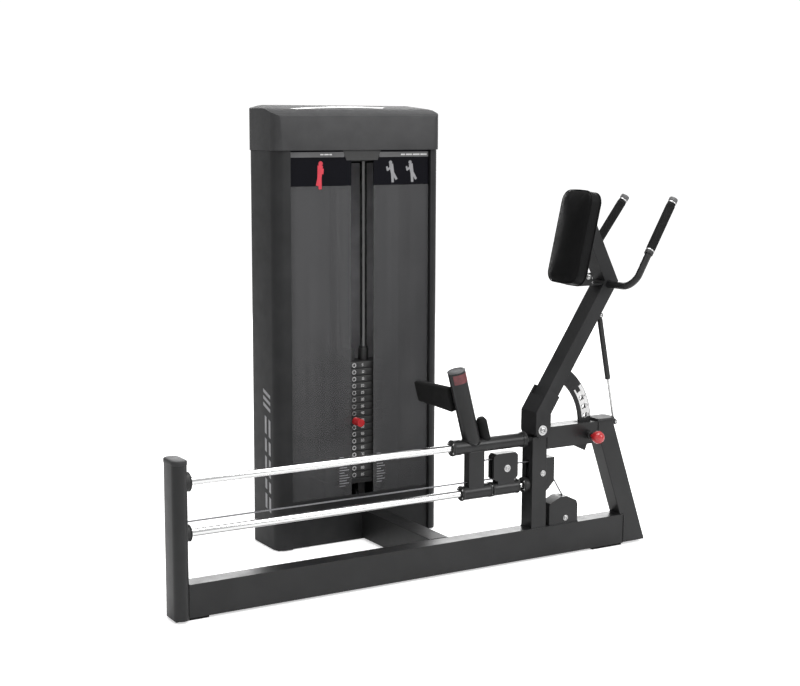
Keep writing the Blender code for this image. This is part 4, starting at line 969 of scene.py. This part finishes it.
def make_quadrant_label():
    """White scale with dark numerals on the quadrant, and the rims of its holes."""
    label_start, label_end = 5.5, 36.0

    def spoke(turn):
        """Directions out from the pivot and onward round it."""
        turn = math.radians(turn)
        return X * math.cos(turn) + Z * math.sin(turn), Z * math.cos(turn) - X * math.sin(turn)

    def strip(work):
        sector(work, 0.1985, 0.2045, label_start, label_end, 12)
        sector(work, 0.2220, 0.2345, label_start, label_end, 12)
        for centre in HOLE_TURNS:
            if 5.0 < centre + 2.2 < label_end:
                sector(work, 0.2045, 0.2220, centre + 2.2, min(centre + 6.6, label_end), 4)
    piece_from("quadrant_label", strip, WHITE, "pad_arm", smooth=False)

    def figures(work):
        for k in range(2, 5):
            out, up = spoke(HOLE_TURNS[k])
            corner = PIVOT + out * 0.2255 - up * 0.0035 - Y * (QUADRANT_FACE + PRINT)
            digits(work, str(k), corner, out, up, 0.0075, 0.0003)
    piece_from("quadrant_figures", figures, BLACK_PRINT, "pad_arm", smooth=False)

    def rims(work):
        for turn in HOLE_TURNS:
            spot = PIVOT + spoke(turn)[0] * HOLE_REACH
            for axis in (-Y, Y):
                ring_solid(work, [(0.0067, 0.0), (0.0082, 0.0), (0.0080, 0.0006), (0.0069, 0.0006)],
                           spot + axis * QUADRANT_FACE, axis, 20)
    piece_from("quadrant_rims", rims, STEEL, "pad_arm")


make_quadrant_label()


def make_pull_pin_trim():
    """A nut round the pin's housing, and the neck behind the pin's knob."""
    def nut(work):
        ring_solid(work, [(0.0121, 0.0), (0.0150, 0.0), (0.0156, 0.0012), (0.0156, 0.0074),
                          (0.0144, 0.0086), (0.0121, 0.0086)], PIN - Y * 0.0402, -Y, 28)
    piece_from("pin_guide_nut", nut, PLASTIC, "frame")

    def neck(work):
        ring_solid(work, [(0.0062, 0.0), (0.0100, 0.0006), (0.0108, 0.0030),
                          (0.0108, 0.0060), (0.0062, 0.0068)], PIN - Y * 0.0612, -Y, 28)
    piece_from("pull_pin_neck", neck, PLASTIC, "position_pin")


make_pull_pin_trim()


# ---- tower graphics and trim ----
def figure(work, cx, cz, size, y, lean):
    """A plain pictogram of a person: round head and a few limbs."""
    head = [at(cx + lean * 0.10 * size + a, y, cz + 0.40 * size + b) for a, b in circle(0.085 * size, 16)]
    plate(work, head, -Y, PRINT)
    limbs = (((0.06 * lean, 0.28), (0.0, -0.02), 0.105),
             ((0.0, -0.02), (0.02, -0.46), 0.075),
             ((0.0, -0.02), (-0.22 * lean, -0.34), 0.070),
             ((0.05 * lean, 0.22), (0.26 * lean, 0.06), 0.055),
             ((0.26 * lean, 0.06), (0.30 * lean, 0.20), 0.05))
    for i, ((ax, az), (bx, bz), wide) in enumerate(limbs):
        a, b = Vector((ax, az)) * size, Vector((bx, bz)) * size
        along = (b - a).normalized()
        across = Vector((-along.y, along.x)) * wide * size
        a, b = a - along * wide * size * 0.5, b + along * wide * size * 0.5
        corners = [a - across, b - across * 0.8, b + across * 0.8, a + across]
        depth = y - 0.00002 * (i + 1)
        plate(work, [at(cx + c.x, depth, cz + c.y) for c in corners], -Y, PRINT)


def make_tower_graphics():
    """Plain marks where the header panel and the shields have printing."""
    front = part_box("header_panel")[0].y - DATUM.y
    left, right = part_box("header_panel")[0].x - DATUM.x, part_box("header_panel")[1].x - DATUM.x

    def strips(work):
        rect(work, left + 0.002, 0.8775, 1.3755, 1.3935, front)
        rect(work, 1.0185, right - 0.002, 1.3745, 1.3925, front)
    marks("header_strips", strips, GREY_PLASTIC)

    def notch(work):
        corners = [(0.872, 1.3985), (1.024, 1.3985), (1.011, 1.364), (0.886, 1.364)]
        plate(work, [at(x, front, z) for x, z in corners], -Y, 0.0010)
    marks("header_notch", notch, BLACK_PRINT)

    def bars(work):
        for x0, x1 in ((0.783, 0.796), (0.799, 0.816), (0.819, 0.829)):
            rect(work, x0, x1, 1.3825, 1.3870, front - PRINT)
        for x0, x1 in ((1.107, 1.124), (1.128, 1.152), (1.156, 1.184), (1.188, 1.214)):
            rect(work, x0, x1, 1.3805, 1.3855, front - PRINT)
    marks("header_bars", bars, WHITE)

    marks("header_figure_red", lambda work: figure(work, 0.7805, 1.3150, 0.098, front, 0.40), RED_PRINT)

    def greys(work):
        for x in (1.0715, 1.1525):
            figure(work, x, 1.3240, 0.078, front, -0.95)
    marks("header_figures_grey", greys, GREY)

    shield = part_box("left_shield")[0].y - DATUM.y

    def notes(work):
        widths = (0.024, 0.038, 0.030, 0.041, 0.035, 0.020, 0.039, 0.031, 0.037, 0.026, 0.040, 0.018)
        for i, wide in enumerate(widths):
            z = 0.205 + 0.0095 * i
            rect(work, 0.856, 0.856 + wide, z, z + 0.0032, shield)
            rect(work, 1.010, 1.010 + wide * 0.85, z, z + 0.0032, shield)
    marks("shield_notes", notes, GREY)


make_tower_graphics()


def make_side_mark():
    """Plain light bars down the tower's left side."""
    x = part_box("left_side_cover")[0].x - DATUM.x
    y0, y1, slope = 0.535, 0.590, 0.36

    def fill(work):
        z = 0.552
        for gap in (0.012, 0.012, 0.030):
            low = z - 0.012
            corners = [at(x, y0, z), at(x, y1, z + 0.02), at(x, y1, low + 0.02), at(x, y0, low)]
            plate(work, corners, -X, PRINT)
            z = low - gap
        for long in (0.062, 0.046, 0.062, 0.036, 0.052):
            for near in (0.0, 0.030):
                far = near + 0.014
                plate(work, [at(x, y0 + a, z - drop + a * slope) for a, drop in
                             ((near, 0.0), (far, 0.0), (far, long), (near, long))], -X, PRINT)
            z -= long + 0.018
    marks("side_stripes", fill, GREY)


make_side_mark()


def make_cap_inlay():
    """A painted highlight: a plain white sweep laid on the cap's crown where light catches its slope."""
    def sweep(left, wide, near, deep):
        """A curve across the cap, laid on its sloping top."""
        points = []
        for i in range(25):
            share = i / 24
            y = near + deep * math.sin(math.pi * share * 0.75)
            points.append(at(left + wide * share, y, 1.538 + (y - 0.540) * (0.017 / 0.115) + 0.0003))
        return points

    def fill(work):
        lift = Z * 0.0006
        loft(work, [[a, b, b + lift, a + lift] for a, b in
                    zip(sweep(0.70, 0.40, 0.560, 0.060), sweep(0.72, 0.36, 0.548, 0.046))])
    # painted highlight: the white sweep stands in for light caught on the sloping crown
    marks("cap_painted_highlight", fill, WHITE)


make_cap_inlay()


def make_back_trim():
    """The back cover's ribs and screws, a pale sheet of painted light on the back wall's inside, and the
    skirt's screws.
    """
    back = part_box("back_cover")[1].y - DATUM.y

    def ribs(work):
        for k in range(5):
            x = 0.700 + 0.117 * k
            rings = []
            for grow, lift in ((0.0, 0.0), (-0.003, 0.0024), (-0.007, 0.0030)):
                half = 0.012 + grow
                bottom, top = 0.09 - grow, 1.31 + grow
                rings.append([at(x + a, back + lift, b) for a, b in
                              ((-half, bottom), (half, bottom), (half, top), (-half, top))])
            loft(work, rings)
    marks("back_ribs", ribs, COVER)

    # painted light: a pale sheet on the inside of the back wall, standing in for the light that falls there
    marks("back_wall_painted_light", lambda work: rect(work, 0.640, 1.214, 0.060, 1.350, 0.6915, 0.0012), PAINTED_LIGHT_SHEET)
    places = [(at(x, back, z), Y, 0.0048, 0.0028, 0.0075)
              for x in (0.650, 1.218) for z in (0.05, 0.49, 0.93, 1.36)]
    bolts("back_screws", places, "frame", PLASTIC)
    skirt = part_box("skirt_panel")[0].y - DATUM.y
    low = [(at(x, skirt, 0.150), -Y, 0.0042, 0.0024, 0.0) for x in (0.680, 1.188)]
    bolts("skirt_screws", low, "frame", PLASTIC)


make_back_trim()


# ---- floor, light and world ----
def make_stage():
    mesh = bpy.data.meshes.new("floor")
    work = bmesh.new()
    bmesh.ops.create_grid(work, x_segments=1, y_segments=1, size=40.0)
    work.to_mesh(mesh)
    work.free()
    floor = add_object("floor", mesh)
    finish = Finish("studio_floor", roughness=0.9)
    finish.color(finish.noise(0.6, 2.0), (0.93, 0.93, 0.93), (0.95, 0.95, 0.95))
    finish.shader.inputs["Emission Color"].default_value = (1, 1, 1, 1)
    paths = finish.tree.nodes.new("ShaderNodeLightPath")
    finish.drive("Emission Strength", paths.outputs["Is Camera Ray"], 0.0, 0.56)   # lights nothing else
    mesh.materials.append(finish.material)

    world = bpy.data.worlds.new("studio")
    bpy.context.scene.world = world
    world.use_nodes = True
    tree = world.node_tree
    background = tree.nodes["Background"]
    background.inputs["Color"].default_value = (1, 1, 1, 1)
    paths = tree.nodes.new("ShaderNodeLightPath")
    strength = map_range(tree, paths.outputs["Is Camera Ray"], "To", 0.60, 1.05)
    tree.links.new(strength, background.inputs["Strength"])

    def softbox(name, location, target, size, power):
        light = bpy.data.lights.new(name, "AREA")
        light.shape = "RECTANGLE"
        light.size, light.size_y = size
        light.energy = power
        holder = add_object(name, light)
        holder.location = location
        holder.rotation_euler = (Vector(target) - Vector(location)).to_track_quat("-Z", "Y").to_euler()

    softbox("overhead", (0.2, -0.8, 4.2), (0.0, 0.0, 0.6), (3.4, 2.6), 120)
    softbox("key", (2.8, -4.2, 3.0), (0.1, 0.0, 0.6), (2.2, 2.2), 90)
    softbox("fill", (-4.2, -3.0, 2.2), (0.0, 0.0, 0.6), (2.4, 2.4), 8)
    softbox("back", (3.2, 5.5, 2.1), (0.0, 0.0, 0.3), (5.0, 2.6), 150)


make_stage()
scene = bpy.context.scene
scene.view_settings.view_transform = "Standard"
scene.view_settings.look = "None"
scene.render.film_transparent = False
